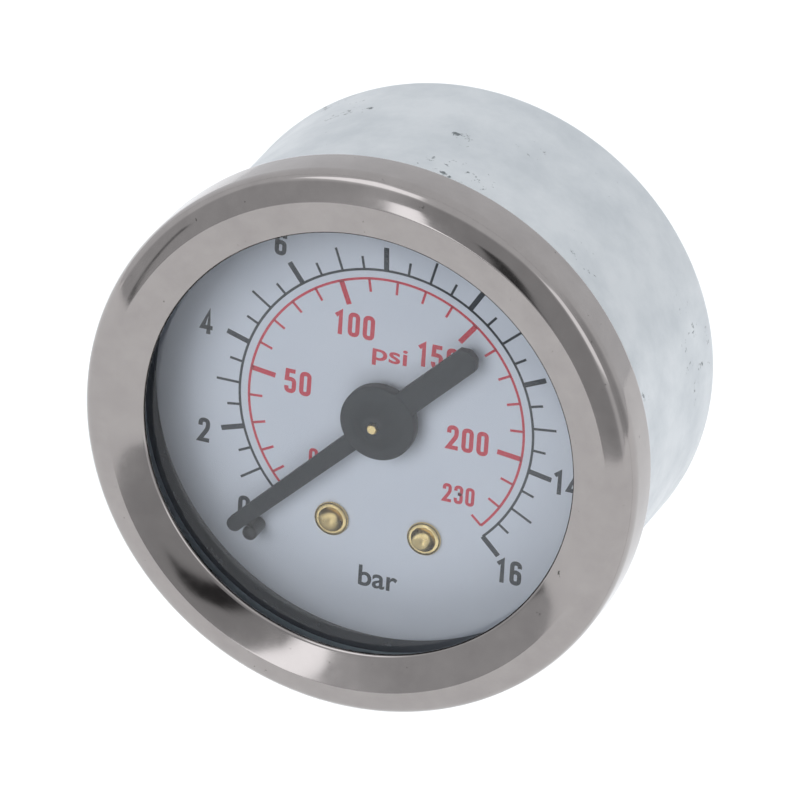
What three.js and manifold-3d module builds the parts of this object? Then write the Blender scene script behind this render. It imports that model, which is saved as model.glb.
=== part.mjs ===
// Panel pressure gauge, 0 to 16 bar, nominal size 40, with a G1/8 stem in the centre of its back.
// Millimetres. The gauge's axis is Y: the dial faces -Y, the stem points to +Y, and the
// dial's top is +Z.
// Inside the file y is measured from the dial's front face; the whole model is then moved
// so that its origin is on the axis at the stem's sealing shoulder.
import * as THREE from "three";
import { mergeVertices } from "three/addons/utils/BufferGeometryUtils.js";
import Module from "manifold-3d";

const wasm = await Module();
wasm.setup();

// ---------- Driving dimensions ----------
const ROUND_LARGE = 48; // facets round a large turned piece
const ROUND_MEDIUM = 24;
const ROUND_SMALL = 16;
const SEAT_GAP = 0.05; // between stacked faces
const RUN_GAP = 0.05; // radial, shaft in its hole
const FIT_GAP = 0.1; // loose location, hole over shank
const OVERRUN = 1; // how far a cutting tool runs past what it cuts
const OVERLAP = 0.5; // how deep joined solids run into each other

// Case and bezel
const caseRadius = 20.2;
const caseWall = 0.6;
const caseCorner = 1.0;
const caseDepth = 17.6; // dial face to the outside of the case's back
const rimWidth = 1.2; // how far the case's front rim stands out
const rimRearY = -2.65; // rear of that rim
const bezelSheet = 0.5;
const bezelRimGap = 0.5; // radial, case rim to the bezel's skirt
const bezelFaceWidth = 4.65; // lip to the outside of the skirt
const bezelCrestInset = 2.0; // crest to the outside of the skirt
const bezelCrestRise = 1.15; // crest above the lip

// Window stack, dial and pointer
const windowThick = 1.2;
const gasketThick = 0.4;
const gasketWidth = 2.8;
const spacerFlange = 0.4;
const spacerWall = 0.45;
const spacerGap = 0.3; // radial, spacer to the case's inner wall
const dialThick = 0.5;
const dialHoleRadius = 1.3;
const dialMargin = 0.45; // dial edge to the case's inner wall
const pointerTipGap = 2.55; // tip to the spacer's bore
const pointerRootWidth = 1.5;
const pointerTipWidth = 1.2;
const pointerThick = 0.7;
const pointerLift = 1.2; // dial face to the underside of the blade
const tailLength = 10.3;
const tailWidth = 2.05;
const tailChamfer = 0.6;
const hubRadius = 3.05;
const hubThick = 1.0;
const bossRadius = 1.1;
const bossHeight = 0.9;
const zeroAngle = -135; // degrees clockwise from the top
const scaleSpan = 270;
const stopPinRadius = 0.6;
const stopPinInset = 1.2; // from the pointer's tip towards the axis
const stopPinHeight = 2.2;

// Movement
const moduleMm = 0.25;
const pressureAngle = 20;
const pinionTeeth = 8;
const sectorTeethFull = 80; // of the full circle that the sector is cut from
const sectorTeethCut = 9;
const profileShift = 0.5; // pinion's, in modules; the sector has the opposite
const toothThinning = 0.05;
const centreSpread = 0.05;
const frontPlateY = 3.0;
const plateThick = 0.8;
const plateSpacing = 4.4; // between the two plates
const sectorHeight = 1.7; // front plate's back to the sector
const sectorThick = 1.0;
const sectorHubRadius = 1.5;
const linkThick = 0.5;
const arborRadius = 0.5;
const arborTipRadius = 0.43;
const arborTipRise = 0.25; // arbor's tip past the pointer's boss
const pivotRadius = 0.4;
const sectorArborRadius = 0.6;
const tailArm = 4.0; // sector pivot to link screw
const tailArmAngle = -52; // degrees from +X towards +Z, at rest
const linkPinRadius = 0.4;
const linkEyeRadius = 0.95;
const pinHeadThick = 0.35;
const pinHeadStep = 0.4;
const setSlotHalf = 0.5; // lets the link screw be set along the tail
const openPivotGap = 0.11; // radial, link on its screw: takes up the linkage's uneven ratio
const springInner = 1.25;
const springOuter = 3.95;
const springTurns = 3.5;
const springBand = 0.14;
const springWidth = 0.5;
const springHeight = 0.35; // front plate's back to the spring
const studRadius = 0.35;

// Bourdon tube
const tubeToHub = 0.4; // sector hub to the post that holds the tube's root
const postStep = 0.2; // post's wall past the tube, each side
const postFromRoot = 0.5; // degrees, tube's root face to the post
const postSpan = 13.5; // degrees, tube's root face to the post's far side
const tubeWidth = 4.6; // along the gauge's axis
const tubeDepth = 1.7; // across the flattened section
const tubeWall = 0.25;
const tubeToBlock = 0.2;
const tubeRootAngle = -104; // degrees from +X towards +Z
const tubeArc = 264; // clockwise from the root
const tipPinFromPivot = [9.3, 5.05]; // X and Z, from the sector's pivot

// Socket
const blockHalfWidth = 5.2;
const blockTopMargin = 2.0; // above the movement screws
const blockBottomMargin = 0.85; // below the tube
const earMargin = 2.6; // past the case screws
const earHalfHeight = 5.5;
const earCorner = 2.4;
const earThick = 3.0;
const earFloor = 0.6; // left under the case screws' holes
const neckRadius = 4.9;
const squareFlats = 11.0;
const squareCorner = 0.9;
const squareLength = 6.8;
const squareGap = 0.6; // case back to the square
const threadMajor = 9.728; // G1/8
const threadPitch = 0.907;
const threadDepth = 0.581;
const threadLength = 10.0;
const threadRunout = 1.3; // plain shank and half a thread before the first crest
const portRadius = 1.6;
const drillRadius = 0.6;
const slantRadius = 0.45; // passage from the riser to the tube's root
const plugRadius = 0.95;
const plugLength = 1.4;
const restrictorLength = 1.8;
const restrictorDepth = 0.8; // below the stem's end
const restrictorBore = 0.25;
const sealThick = 0.5;
const sealWidth = 2.0;

// Fasteners: head radius, head height, shank radius
const CASE_SCREW = { head: 2.1, rise: 1.3, shank: 1.2, slot: 0.55, reach: 2.9 };
const MOVEMENT_SCREW = { head: 1.2, rise: 0.7, shank: 0.55, slot: 0.4, reach: 2.6 };
const PLATE_SCREW = { head: 1.1, rise: 0.65, shank: 0.5, slot: 0.35, reach: 2.2 };
const caseScrewGap = 1.0; // head to the wrench square
const sealToScrew = 0.4;
const movementScrewX = 3.6;
const movementScrewZ = 2.6;
const pillarRadius = 0.95;
const pillarSpigot = 0.55; // radius of the end riveted in the back plate
const pillarClearDegrees = 9.8; // right pillar from the sector's furthest edge
const leftPillarFromDialPillar = [-1.8, 2.1];
const dialPillarX = 3.8;
const dialPillarZ = -9.7;
const dialPillarRadius = 1.15;
const dialNeckStep = 0.4; // pillar to its thinner ends
const rivetHeadRadius = 1.38;
const rivetHeadRise = 0.4;

// ---------- Worked-out positions ----------
const radians = THREE.MathUtils.degToRad;
const polar = (radius, degrees) => [
  radius * Math.cos(radians(degrees)),
  radius * Math.sin(radians(degrees)),
];
const shifted = ([x, z], [dx, dz]) => [x + dx, z + dz];
const caseInner = caseRadius - caseWall;
const rimRadius = caseRadius + rimWidth;
const rimFrontY = rimRearY - caseWall;
const bezelRadius = rimRadius + bezelRimGap + bezelSheet;
const bezelOpening = bezelRadius - bezelFaceWidth;
const bezelCrestRadius = bezelRadius - bezelCrestInset;
const spacerBore = caseInner - spacerGap - spacerWall;
const pointerLength = spacerBore - pointerTipGap;
const stopPinPlace = pointerLength - stopPinInset; // from the axis
const spacerFlangeBackY = rimFrontY - SEAT_GAP;
const spacerFlangeFrontY = spacerFlangeBackY - spacerFlange;
const gasketBackY = spacerFlangeFrontY - SEAT_GAP;
const gasketFrontY = gasketBackY - gasketThick;
const windowBackY = gasketFrontY - SEAT_GAP;
const windowFrontY = windowBackY - windowThick;
const lipInnerY = windowFrontY - SEAT_GAP;
const lipFrontY = lipInnerY - bezelSheet;
const crestY = lipFrontY - bezelCrestRise;
const bezelSkirtInner = bezelRadius - bezelSheet;
const bezelRearY = rimRearY + SEAT_GAP + bezelSheet;
const dialRadius = caseInner - dialMargin;
const caseBackInnerY = caseDepth - caseWall;
const squareY = caseDepth + squareGap;
const shoulderY = squareY + squareLength;
const stemEndY = shoulderY + threadLength;
const sealOuter = neckRadius + FIT_GAP + sealWidth;
const caseScrewX = Math.max(
  squareFlats / 2 + CASE_SCREW.head + caseScrewGap,
  sealOuter + CASE_SCREW.shank + sealToScrew,
);
const sealBackY = caseBackInnerY - SEAT_GAP;
const dialNeckRadius = dialPillarRadius - dialNeckStep;
const earBackY = sealBackY - sealThick - SEAT_GAP;
const earFrontY = earBackY - earThick;
const blockBackY = earFrontY + FIT_GAP;
const backPlateY = frontPlateY + plateThick + plateSpacing;
const movementBackY = backPlateY + plateThick;
const blockFrontY = movementBackY + FIT_GAP;
const pinionPitchRadius = (moduleMm * pinionTeeth) / 2;
const sectorPitchRadius = (moduleMm * sectorTeethFull) / 2;
const sectorPivot = [0, -(pinionPitchRadius + sectorPitchRadius + centreSpread)];
const toothPitchDegrees = 360 / sectorTeethFull;
const sectorSwing = (scaleSpan * pinionTeeth) / sectorTeethFull;
const sectorRestAngle = 90 - sectorSwing / 2; // of the sector's middle tooth
const sectorEdgeDegrees = (sectorTeethCut / 2) * toothPitchDegrees;
const sectorSweepDegrees = sectorSwing / 2 + sectorEdgeDegrees;
const sectorY = frontPlateY + plateThick + sectorHeight;
const springY = frontPlateY + plateThick + springHeight;
const studX = -(springOuter + springBand / 2 + studRadius + SEAT_GAP);
const linkY = sectorY + sectorThick + FIT_GAP;
const linkScrewAt = shifted(sectorPivot, polar(tailArm, tailArmAngle));
const tipPinAt = shifted(sectorPivot, tipPinFromPivot);
const rightPillarAngle = 90 - sectorSweepDegrees - pillarClearDegrees;
const pillars = {
  left: shifted([-dialPillarX, dialPillarZ], leftPillarFromDialPillar),
  right: shifted(sectorPivot, polar(sectorPitchRadius - pillarRadius + 0.1, rightPillarAngle)),
};
const postInner = -sectorPivot[1] + sectorHubRadius + tubeToHub;
const tubeRadius = postInner + postStep + tubeDepth / 2;
const tubeCentreY = blockFrontY - tubeToBlock - tubeWidth / 2;
const postOuter = tubeRadius + tubeDepth / 2 + blockBottomMargin;
const blockBottom = -(postOuter + postStep);
const blockTop = movementScrewZ + blockTopMargin;
const passageY = (blockFrontY + blockBackY) / 2;
const tubeEndAngle = tubeRootAngle - tubeArc;
const pointerFaceY = -(pointerLift + pointerThick);
const hubFaceY = pointerFaceY - 0.1;
const bossFaceY = hubFaceY - bossHeight;
const arborTipY = bossFaceY - arborTipRise;

// ---------- Helpers ----------
function solidOf(geometry) {
  const bare = geometry.clone();
  bare.deleteAttribute("normal");
  bare.deleteAttribute("uv");
  const merged = mergeVertices(bare, 1e-4);
  const mesh = new wasm.Mesh({
    numProp: 3,
    vertProperties: merged.attributes.position.array,
    triVerts: new Uint32Array(merged.index.array),
  });
  return new wasm.Manifold(mesh);
}

function geometryOf(solid) {
  const mesh = solid.getMesh();
  const geometry = new THREE.BufferGeometry();
  geometry.setAttribute("position", new THREE.BufferAttribute(mesh.vertProperties, 3));
  geometry.setIndex(new THREE.BufferAttribute(mesh.triVerts, 1));
  return geometry;
}

const join = (...geometries) =>
  geometryOf(geometries.map(solidOf).reduce((whole, piece) => whole.add(piece)));

const cut = (geometry, ...tools) =>
  geometryOf(tools.map(solidOf).reduce((left, tool) => left.subtract(tool), solidOf(geometry)));

// Turns a profile of [radius, y] points round the Y axis. The profile goes round its section
// the way that puts the faces outwards, and closes on itself when it leaves the axis.
function lathe(profile, segments) {
  const area = THREE.ShapeUtils.area(profile.map(([r, y]) => new THREE.Vector2(r, y)));
  const ordered = area < 0 ? [...profile].reverse() : [...profile];
  const onAxis = ordered.filter(([r]) => r === 0).length;
  if (onAxis === 0) ordered.push(ordered[0]);
  while (onAxis && !(ordered[0][0] === 0 && ordered.at(-1)[0] === 0)) {
    ordered.push(ordered.shift());
  }
  const points = ordered.map(([r, y]) => new THREE.Vector2(r, y));
  return new THREE.LatheGeometry(points, segments);
}

const at = (geometry, x, z) => geometry.translate(x, 0, z);

const ring = (inner, outer, y0, y1, segments) =>
  lathe([[inner, y0], [outer, y0], [outer, y1], [inner, y1]], segments);

const disc = (radius, y0, y1, segments) =>
  lathe([[0, y0], [radius, y0], [radius, y1], [0, y1]], segments);

const drill = (radius, y0, y1, x, z) => at(disc(radius, y0, y1, 12), x, z);

// A plain rod between two points [x, y, z].
function rodBetween(from, to, radius) {
  const start = new THREE.Vector3(...from);
  const run = new THREE.Vector3(...to).sub(start);
  const rod = new THREE.CylinderGeometry(radius, radius, run.length(), ROUND_SMALL);
  const turn = new THREE.Quaternion();
  turn.setFromUnitVectors(new THREE.Vector3(0, 1, 0), run.clone().normalize());
  rod.applyQuaternion(turn);
  return rod.translate(...start.addScaledVector(run, 0.5).toArray());
}

// Extrudes a shape drawn in X and Z along the gauge's axis, from y0 to y1.
function plate(shape, y0, y1) {
  const geometry = new THREE.ExtrudeGeometry(shape, {
    depth: y1 - y0,
    bevelEnabled: false,
    curveSegments: 8,
  });
  return geometry.rotateX(Math.PI / 2).translate(0, y1, 0);
}

const outline = (points) => new THREE.Shape(points.map(([x, z]) => new THREE.Vector2(x, z)));

// A polygon with its corners rounded by the same radius.
function roundedOutline(points, radius) {
  const shape = new THREE.Shape();
  const corners = points.map(([x, z]) => new THREE.Vector2(x, z));
  corners.forEach((corner, i) => {
    const before = corners.at(i - 1);
    const after = corners[(i + 1) % corners.length];
    const from = corner.clone().add(before.clone().sub(corner).setLength(radius));
    const to = corner.clone().add(after.clone().sub(corner).setLength(radius));
    if (i === 0) shape.moveTo(from.x, from.y);
    else shape.lineTo(from.x, from.y);
    shape.quadraticCurveTo(corner.x, corner.y, to.x, to.y);
  });
  return shape;
}

const rectangle = (x0, z0, x1, z1) => outline([[x0, z0], [x1, z0], [x1, z1], [x0, z1]]);

const roundedRectangle = (halfWidth, halfHeight, radius) =>
  roundedOutline(
    [
      [-halfWidth, -halfHeight],
      [halfWidth, -halfHeight],
      [halfWidth, halfHeight],
      [-halfWidth, halfHeight],
    ],
    radius,
  );

// A flat bar with round ends between two points.
function barOutline([x0, z0], [x1, z1], radius) {
  const heading = Math.atan2(z1 - z0, x1 - x0);
  const shape = new THREE.Shape();
  shape.absarc(x1, z1, radius, heading - Math.PI / 2, heading + Math.PI / 2);
  shape.absarc(x0, z0, radius, heading + Math.PI / 2, heading + 1.5 * Math.PI);
  return shape;
}

// A piece of a flat ring round the gauge's axis, between two angles.
function arcOutline(inner, outer, fromDegrees, toDegrees) {
  const shape = new THREE.Shape();
  shape.absarc(0, 0, outer, radians(fromDegrees), radians(toDegrees));
  shape.absarc(0, 0, inner, radians(toDegrees), radians(fromDegrees), true);
  return shape;
}

// A slotted screw with its head towards +Y and the head's seat at y = 0.
function screw({ head, rise, shank, slot, reach }) {
  const edge = rise * 0.25;
  const profile = [
    [0, -reach],
    [shank, -reach],
    [shank, 0],
    [head, 0],
    [head, rise - edge],
    [head - edge, rise],
    [0, rise],
  ];
  const body = lathe(profile, ROUND_SMALL);
  const slotOutline = rectangle(-head - OVERRUN, -slot / 2, head + OVERRUN, slot / 2);
  const groove = plate(slotOutline, rise * 0.5, rise + OVERRUN);
  return cut(body, groove);
}

const group = new THREE.Group();
const materials = {
  polishedSteel: new THREE.MeshStandardMaterial({ color: 0xb8b2aa, roughness: 0.15, metalness: 1 }),
  zincPlate: new THREE.MeshStandardMaterial({ color: 0xc9d2d8, roughness: 0.4, metalness: 1 }),
  brass: new THREE.MeshStandardMaterial({ color: 0xc9a860, roughness: 0.3, metalness: 1 }),
  bronze: new THREE.MeshStandardMaterial({ color: 0xb58a55, roughness: 0.35, metalness: 1 }),
  blackPlastic: new THREE.MeshStandardMaterial({ color: 0x26292c, roughness: 0.35, metalness: 0 }),
  rubber: new THREE.MeshStandardMaterial({ color: 0x2c2f31, roughness: 0.8, metalness: 0 }),
  whitePaint: new THREE.MeshStandardMaterial({ color: 0xe8ebf0, roughness: 0.6, metalness: 0 }),
  clear: new THREE.MeshStandardMaterial({
    color: 0xffffff,
    roughness: 0.05,
    metalness: 0,
    transparent: true,
    opacity: 0.2,
  }),
};

function addPart(name, geometry, material, place = {}) {
  const mesh = new THREE.Mesh(geometry, material);
  mesh.name = name;
  mesh.position.set(place.x ?? 0, place.y ?? 0, place.z ?? 0);
  mesh.rotation.set(place.turnX ?? 0, place.turnY ?? 0, 0);
  group.add(mesh);
}

// ---------- Bezel, window and seals ----------
function bezelGeometry() {
  const crestInnerY = crestY + bezelSheet;
  const shoulder = bezelRadius - 1.2;
  return lathe(
    [
      [bezelOpening, lipInnerY],
      [bezelOpening - 0.12, lipInnerY - bezelSheet * 0.55],
      [bezelOpening + 0.1, lipFrontY],
      [bezelCrestRadius - 0.5, crestY + 0.12],
      [bezelCrestRadius, crestY],
      [shoulder, crestY + 0.15],
      [bezelRadius - 0.5, crestY + 0.55],
      [bezelRadius - 0.1, crestY + 1.1],
      [bezelRadius, crestY + 1.6],
      [bezelRadius, bezelRearY - 0.4],
      [bezelRadius - 0.15, bezelRearY - 0.1],
      [bezelRadius - 0.4, bezelRearY],
      [caseRadius + 0.35, bezelRearY],
      [caseRadius + 0.35, bezelRearY - bezelSheet],
      [bezelSkirtInner - 0.2, bezelRearY - bezelSheet],
      [bezelSkirtInner, bezelRearY - bezelSheet - 0.2],
      [bezelSkirtInner, crestInnerY + 1.3],
      [shoulder, crestInnerY + 0.2],
      [bezelCrestRadius, crestInnerY],
      [bezelOpening + 0.9, lipInnerY],
    ],
    ROUND_LARGE,
  );
}

function caseGeometry() {
  const cup = lathe(
    [
      [caseInner, rimFrontY],
      [rimRadius, rimFrontY],
      [rimRadius, rimRearY],
      [caseRadius + 0.15, rimRearY],
      [caseRadius, rimRearY + 0.15],
      [caseRadius, caseDepth - caseCorner],
      [caseRadius - caseCorner * 0.3, caseDepth - caseCorner * 0.3],
      [caseRadius - caseCorner, caseDepth],
      [neckRadius + FIT_GAP * 2, caseDepth],
      [neckRadius + FIT_GAP * 2, caseBackInnerY],
      [caseInner - caseCorner * 0.7, caseBackInnerY],
      [caseInner, caseBackInnerY - caseCorner * 0.7],
    ],
    ROUND_LARGE,
  );
  const hole = (x) => drill(CASE_SCREW.shank + FIT_GAP, caseBackInnerY - OVERRUN, caseDepth + OVERRUN, x, 0);
  return cut(cup, hole(caseScrewX), hole(-caseScrewX));
}

function spacerGeometry() {
  const wallOuter = spacerBore + spacerWall;
  const flangeOuter = rimRadius - FIT_GAP;
  return lathe(
    [
      [spacerBore, spacerFlangeFrontY],
      [flangeOuter, spacerFlangeFrontY],
      [flangeOuter, spacerFlangeBackY],
      [wallOuter, spacerFlangeBackY],
      [wallOuter, -SEAT_GAP],
      [spacerBore, -SEAT_GAP],
    ],
    ROUND_LARGE,
  );
}

function addFront() {
  const windowRadius = bezelSkirtInner - 0.6;
  addPart("bezel", bezelGeometry(), materials.polishedSteel);
  addPart("window", disc(windowRadius, windowFrontY, windowBackY, ROUND_LARGE), materials.clear);
  const gasketOuter = rimRadius - FIT_GAP;
  const gasket = ring(gasketOuter - gasketWidth, gasketOuter, gasketFrontY, gasketBackY, ROUND_LARGE);
  addPart("window_gasket", gasket, materials.rubber);
  addPart("spacer_ring", spacerGeometry(), materials.blackPlastic);
  addPart("case", caseGeometry(), materials.zincPlate);
}

// ---------- Dial and stop pin ----------
// The pin stands beside the blade's edge when the pointer lies on zero.
function stopPinPosition() {
  const taper = (pointerRootWidth - pointerTipWidth) / 2 / (pointerLength - pointerTipWidth / 2);
  const edge = pointerRootWidth / 2 - taper * stopPinPlace;
  const offset = edge + stopPinRadius + SEAT_GAP;
  const angle = radians(zeroAngle) - Math.asin(offset / stopPinPlace);
  return [stopPinPlace * Math.sin(angle), stopPinPlace * Math.cos(angle)];
}

function addDial() {
  const [pinX, pinZ] = stopPinPosition();
  const pinNeck = stopPinRadius - 0.15;
  const face = disc(dialRadius, 0, dialThick, ROUND_LARGE);
  const through = (radius, x, z) => drill(radius, -OVERRUN, dialThick + OVERRUN, x, z);
  const dial = cut(
    face,
    through(dialHoleRadius, 0, 0),
    through(dialNeckRadius + SEAT_GAP, dialPillarX, dialPillarZ),
    through(dialNeckRadius + SEAT_GAP, -dialPillarX, dialPillarZ),
    through(pinNeck + SEAT_GAP, pinX, pinZ),
  );
  addPart("dial", dial, materials.whitePaint);
  const pin = lathe(
    [
      [0, -stopPinHeight],
      [stopPinRadius * 0.7, -stopPinHeight],
      [stopPinRadius, -stopPinHeight + 0.2],
      [stopPinRadius, -SEAT_GAP],
      [pinNeck, -SEAT_GAP],
      [pinNeck, dialThick + 0.4],
      [0, dialThick + 0.4],
    ],
    ROUND_SMALL,
  );
  addPart("stop_pin", pin, materials.blackPlastic, { x: pinX, z: pinZ });
}

// A pillar stands on the movement's front plate, passes the dial and is riveted over it.
function dialPillarGeometry() {
  const recess = rivetHeadRadius * 0.62;
  return lathe(
    [
      [0, rivetHeadRise * 0.9],
      [recess, -rivetHeadRise],
      [rivetHeadRadius - 0.1, -rivetHeadRise],
      [rivetHeadRadius, -SEAT_GAP],
      [dialNeckRadius, -SEAT_GAP],
      [dialNeckRadius, dialThick + SEAT_GAP],
      [dialPillarRadius, dialThick + SEAT_GAP],
      [dialPillarRadius, frontPlateY - SEAT_GAP],
      [dialNeckRadius, frontPlateY - SEAT_GAP],
      [dialNeckRadius, frontPlateY + plateThick * 0.8],
      [0, frontPlateY + plateThick * 0.8],
    ],
    ROUND_SMALL,
  );
}

// ---------- Pointer ----------
// The blade is drawn along +Z and turned to zero.
function pointerGeometry() {
  const tipRadius = pointerTipWidth / 2;
  const root = pointerRootWidth / 2;
  const tail = tailWidth / 2;
  const blade = new THREE.Shape();
  blade.moveTo(root, 0);
  blade.lineTo(tipRadius, pointerLength - tipRadius);
  blade.absarc(0, pointerLength - tipRadius, tipRadius, 0, Math.PI);
  blade.lineTo(-root, 0);
  blade.lineTo(-tail, 0);
  blade.lineTo(-tail, -tailLength + tailChamfer);
  blade.lineTo(-tail + tailChamfer, -tailLength);
  blade.lineTo(tail - tailChamfer, -tailLength);
  blade.lineTo(tail, -tailLength + tailChamfer);
  blade.lineTo(tail, 0);
  const hub = lathe(
    [
      [0, bossFaceY],
      [bossRadius * 0.8, bossFaceY],
      [bossRadius, bossFaceY + 0.2],
      [bossRadius, hubFaceY],
      [hubRadius - 0.15, hubFaceY],
      [hubRadius, hubFaceY + 0.15],
      [hubRadius, hubFaceY + hubThick],
      [0, hubFaceY + hubThick],
    ],
    ROUND_MEDIUM + 8,
  );
  const bore = disc(arborTipRadius + RUN_GAP, bossFaceY - OVERRUN, 0, ROUND_SMALL);
  const whole = cut(join(plate(blade, pointerFaceY, -pointerLift), hub), bore);
  return whole.rotateY(radians(zeroAngle));
}

// ---------- Gears ----------
// Half the angle that a tooth covers at a radius, for an involute with its base circle.
function toothHalfAngle(teeth, shift, radius) {
  const alpha = radians(pressureAngle);
  const pitchRadius = (moduleMm * teeth) / 2;
  const baseRadius = pitchRadius * Math.cos(alpha);
  const involute = (angle) => Math.tan(angle) - angle;
  const atPitch = (Math.PI / 2 + 2 * shift * Math.tan(alpha)) / teeth;
  const here = involute(Math.acos(Math.min(1, baseRadius / Math.max(radius, baseRadius))));
  return atPitch - toothThinning / (2 * pitchRadius) + involute(alpha) - here;
}

// The points of one tooth, counterclockwise, from one root to the other.
function toothPoints(teeth, shift, rootRadius, tipRadius, centreAngle) {
  const steps = 4;
  const step = (tipRadius - rootRadius) / steps;
  const radii = Array.from({ length: steps + 1 }, (_, i) => rootRadius + i * step);
  const flank = (side) =>
    radii.map((radius) => {
      const angle = centreAngle + side * toothHalfAngle(teeth, shift, radius);
      return [radius * Math.cos(angle), radius * Math.sin(angle)];
    });
  return [...flank(-1), ...flank(1).reverse()];
}

function pinionOutline() {
  const root = pinionPitchRadius - (1.25 - profileShift) * moduleMm;
  const tip = pinionPitchRadius + (0.8 + profileShift) * moduleMm;
  const pitch = (2 * Math.PI) / pinionTeeth;
  const firstTooth = -Math.PI / 2 + pitch / 2; // a gap faces the sector at rest
  const teeth = Array.from({ length: pinionTeeth }, (_, i) => firstTooth + i * pitch);
  return outline(teeth.flatMap((angle) => toothPoints(pinionTeeth, profileShift, root, tip, angle)));
}

// The sector's toothed wedge, with its middle tooth along +X and its pivot at the origin.
function sectorWedgeOutline() {
  const root = sectorPitchRadius - (1.25 + profileShift) * moduleMm;
  const tip = sectorPitchRadius + (0.8 - profileShift) * moduleMm;
  const half = (sectorTeethCut - 1) / 2;
  const pitch = radians(toothPitchDegrees);
  const teeth = Array.from({ length: sectorTeethCut }, (_, i) => (i - half) * pitch);
  const edge = radians((half + 0.5) * toothPitchDegrees);
  const corner = (side) => [root * Math.cos(edge * side), root * Math.sin(edge * side)];
  const rim = teeth.flatMap((angle) => toothPoints(sectorTeethFull, -profileShift, root, tip, angle));
  return outline([[0, -1.2], corner(-1), ...rim, corner(1), [0, 1.2]]);
}

function sectorGeometry() {
  const [pivotX, pivotZ] = sectorPivot;
  const y1 = sectorY + sectorThick;
  const wedge = plate(sectorWedgeOutline(), sectorY, y1)
    .rotateY(-radians(sectorRestAngle))
    .translate(pivotX, 0, pivotZ);
  const hub = at(disc(sectorHubRadius, sectorY, y1, ROUND_MEDIUM), pivotX, pivotZ);
  const tail = plate(barOutline(sectorPivot, linkScrewAt, 1.0), sectorY, y1);
  const along = polar(setSlotHalf, tailArmAngle);
  const slotEnds = [-1, 1].map((side) => shifted(linkScrewAt, along.map((value) => side * value)));
  const slot = plate(barOutline(...slotEnds, linkPinRadius + RUN_GAP), sectorY - OVERRUN, y1 + OVERRUN);
  const bore = drill(
    sectorArborRadius + RUN_GAP,
    sectorY - OVERRUN,
    y1 + OVERRUN,
    pivotX,
    pivotZ,
  );
  return cut(join(wedge, hub, tail), slot, bore);
}

// A shaft with a pivot in each plate.
function arborProfile(radius) {
  const shoulder = plateThick + FIT_GAP;
  return [
    [0, frontPlateY - 0.15],
    [pivotRadius, frontPlateY - 0.15],
    [pivotRadius, frontPlateY + shoulder],
    [radius, frontPlateY + shoulder],
    [radius, backPlateY - FIT_GAP],
    [pivotRadius, backPlateY - FIT_GAP],
    [pivotRadius, movementBackY - FIT_GAP],
    [0, movementBackY - FIT_GAP],
  ];
}

function pinionArborGeometry() {
  const shaft = lathe(
    [
      [0, arborTipY],
      [arborTipRadius - 0.08, arborTipY],
      [arborTipRadius, arborTipY + 0.1],
      [arborTipRadius, -0.2],
      [arborRadius, 0.6],
      [arborRadius, backPlateY - FIT_GAP],
      [pivotRadius, backPlateY - FIT_GAP],
      [pivotRadius, movementBackY - FIT_GAP],
      [0, movementBackY - FIT_GAP],
    ],
    ROUND_SMALL,
  );
  return join(shaft, plate(pinionOutline(), sectorY - 0.4, sectorY + sectorThick + 0.4));
}

// ---------- Hairspring ----------
function hairspringGeometry() {
  const steps = Math.round(springTurns * 18);
  const radiusAt = (t) => springInner + (springOuter - springInner) * t;
  const side = (offset) =>
    Array.from({ length: steps + 1 }, (_, i) => {
      const angle = 2 * Math.PI * springTurns * (i / steps);
      const radius = radiusAt(i / steps) + offset;
      return [radius * Math.cos(angle), radius * Math.sin(angle)];
    });
  const strip = outline([...side(springBand / 2), ...side(-springBand / 2).reverse()]);
  return plate(strip, springY, springY + springWidth);
}

function addHairspring() {
  addPart("hairspring", hairspringGeometry(), materials.bronze);
  const collet = ring(
    arborRadius + RUN_GAP,
    springInner - springBand,
    springY - FIT_GAP,
    springY + springWidth + FIT_GAP,
    ROUND_SMALL,
  );
  addPart("hairspring_collet", collet, materials.brass);
  const stud = disc(studRadius, frontPlateY + 0.1, springY + springWidth + 0.2, 14);
  addPart("hairspring_stud", stud, materials.brass, { x: studX });
}

// ---------- Movement plates, pillars and screws ----------
function plateOutline() {
  const corners = [
    [-3.6, sectorPivot[1] - 1.15],
    [3.6, sectorPivot[1] - 1.15],
    [7.8, -6.0],
    [7.8, movementScrewZ + 2.0],
    [-7.8, movementScrewZ + 2.0],
    [-7.8, -6.0],
  ];
  return roundedOutline(corners, 1.2);
}

function movementPlate(y0, arborHole, holes) {
  const y1 = y0 + plateThick;
  const blank = plate(plateOutline(), y0, y1);
  const hole = (radius, x, z) => drill(radius, y0 - OVERRUN, y1 + OVERRUN, x, z);
  const pivots = [hole(arborHole, 0, 0), hole(pivotRadius + RUN_GAP, ...sectorPivot)];
  return cut(blank, ...pivots, ...holes.map(([radius, x, z]) => hole(radius, x, z)));
}

function pillarGeometry() {
  const tapped = PLATE_SCREW.shank + SEAT_GAP;
  const tapDepth = PLATE_SCREW.reach - plateThick + 0.3;
  return lathe(
    [
      [tapped, frontPlateY + plateThick + SEAT_GAP],
      [pillarRadius, frontPlateY + plateThick + SEAT_GAP],
      [pillarRadius, backPlateY - SEAT_GAP],
      [pillarSpigot, backPlateY - SEAT_GAP],
      [pillarSpigot, movementBackY - SEAT_GAP],
      [0, movementBackY - SEAT_GAP],
      [0, frontPlateY + plateThick + tapDepth],
      [tapped, frontPlateY + plateThick + tapDepth],
    ],
    ROUND_SMALL,
  );
}

const FACING_FRONT = Math.PI;

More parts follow.
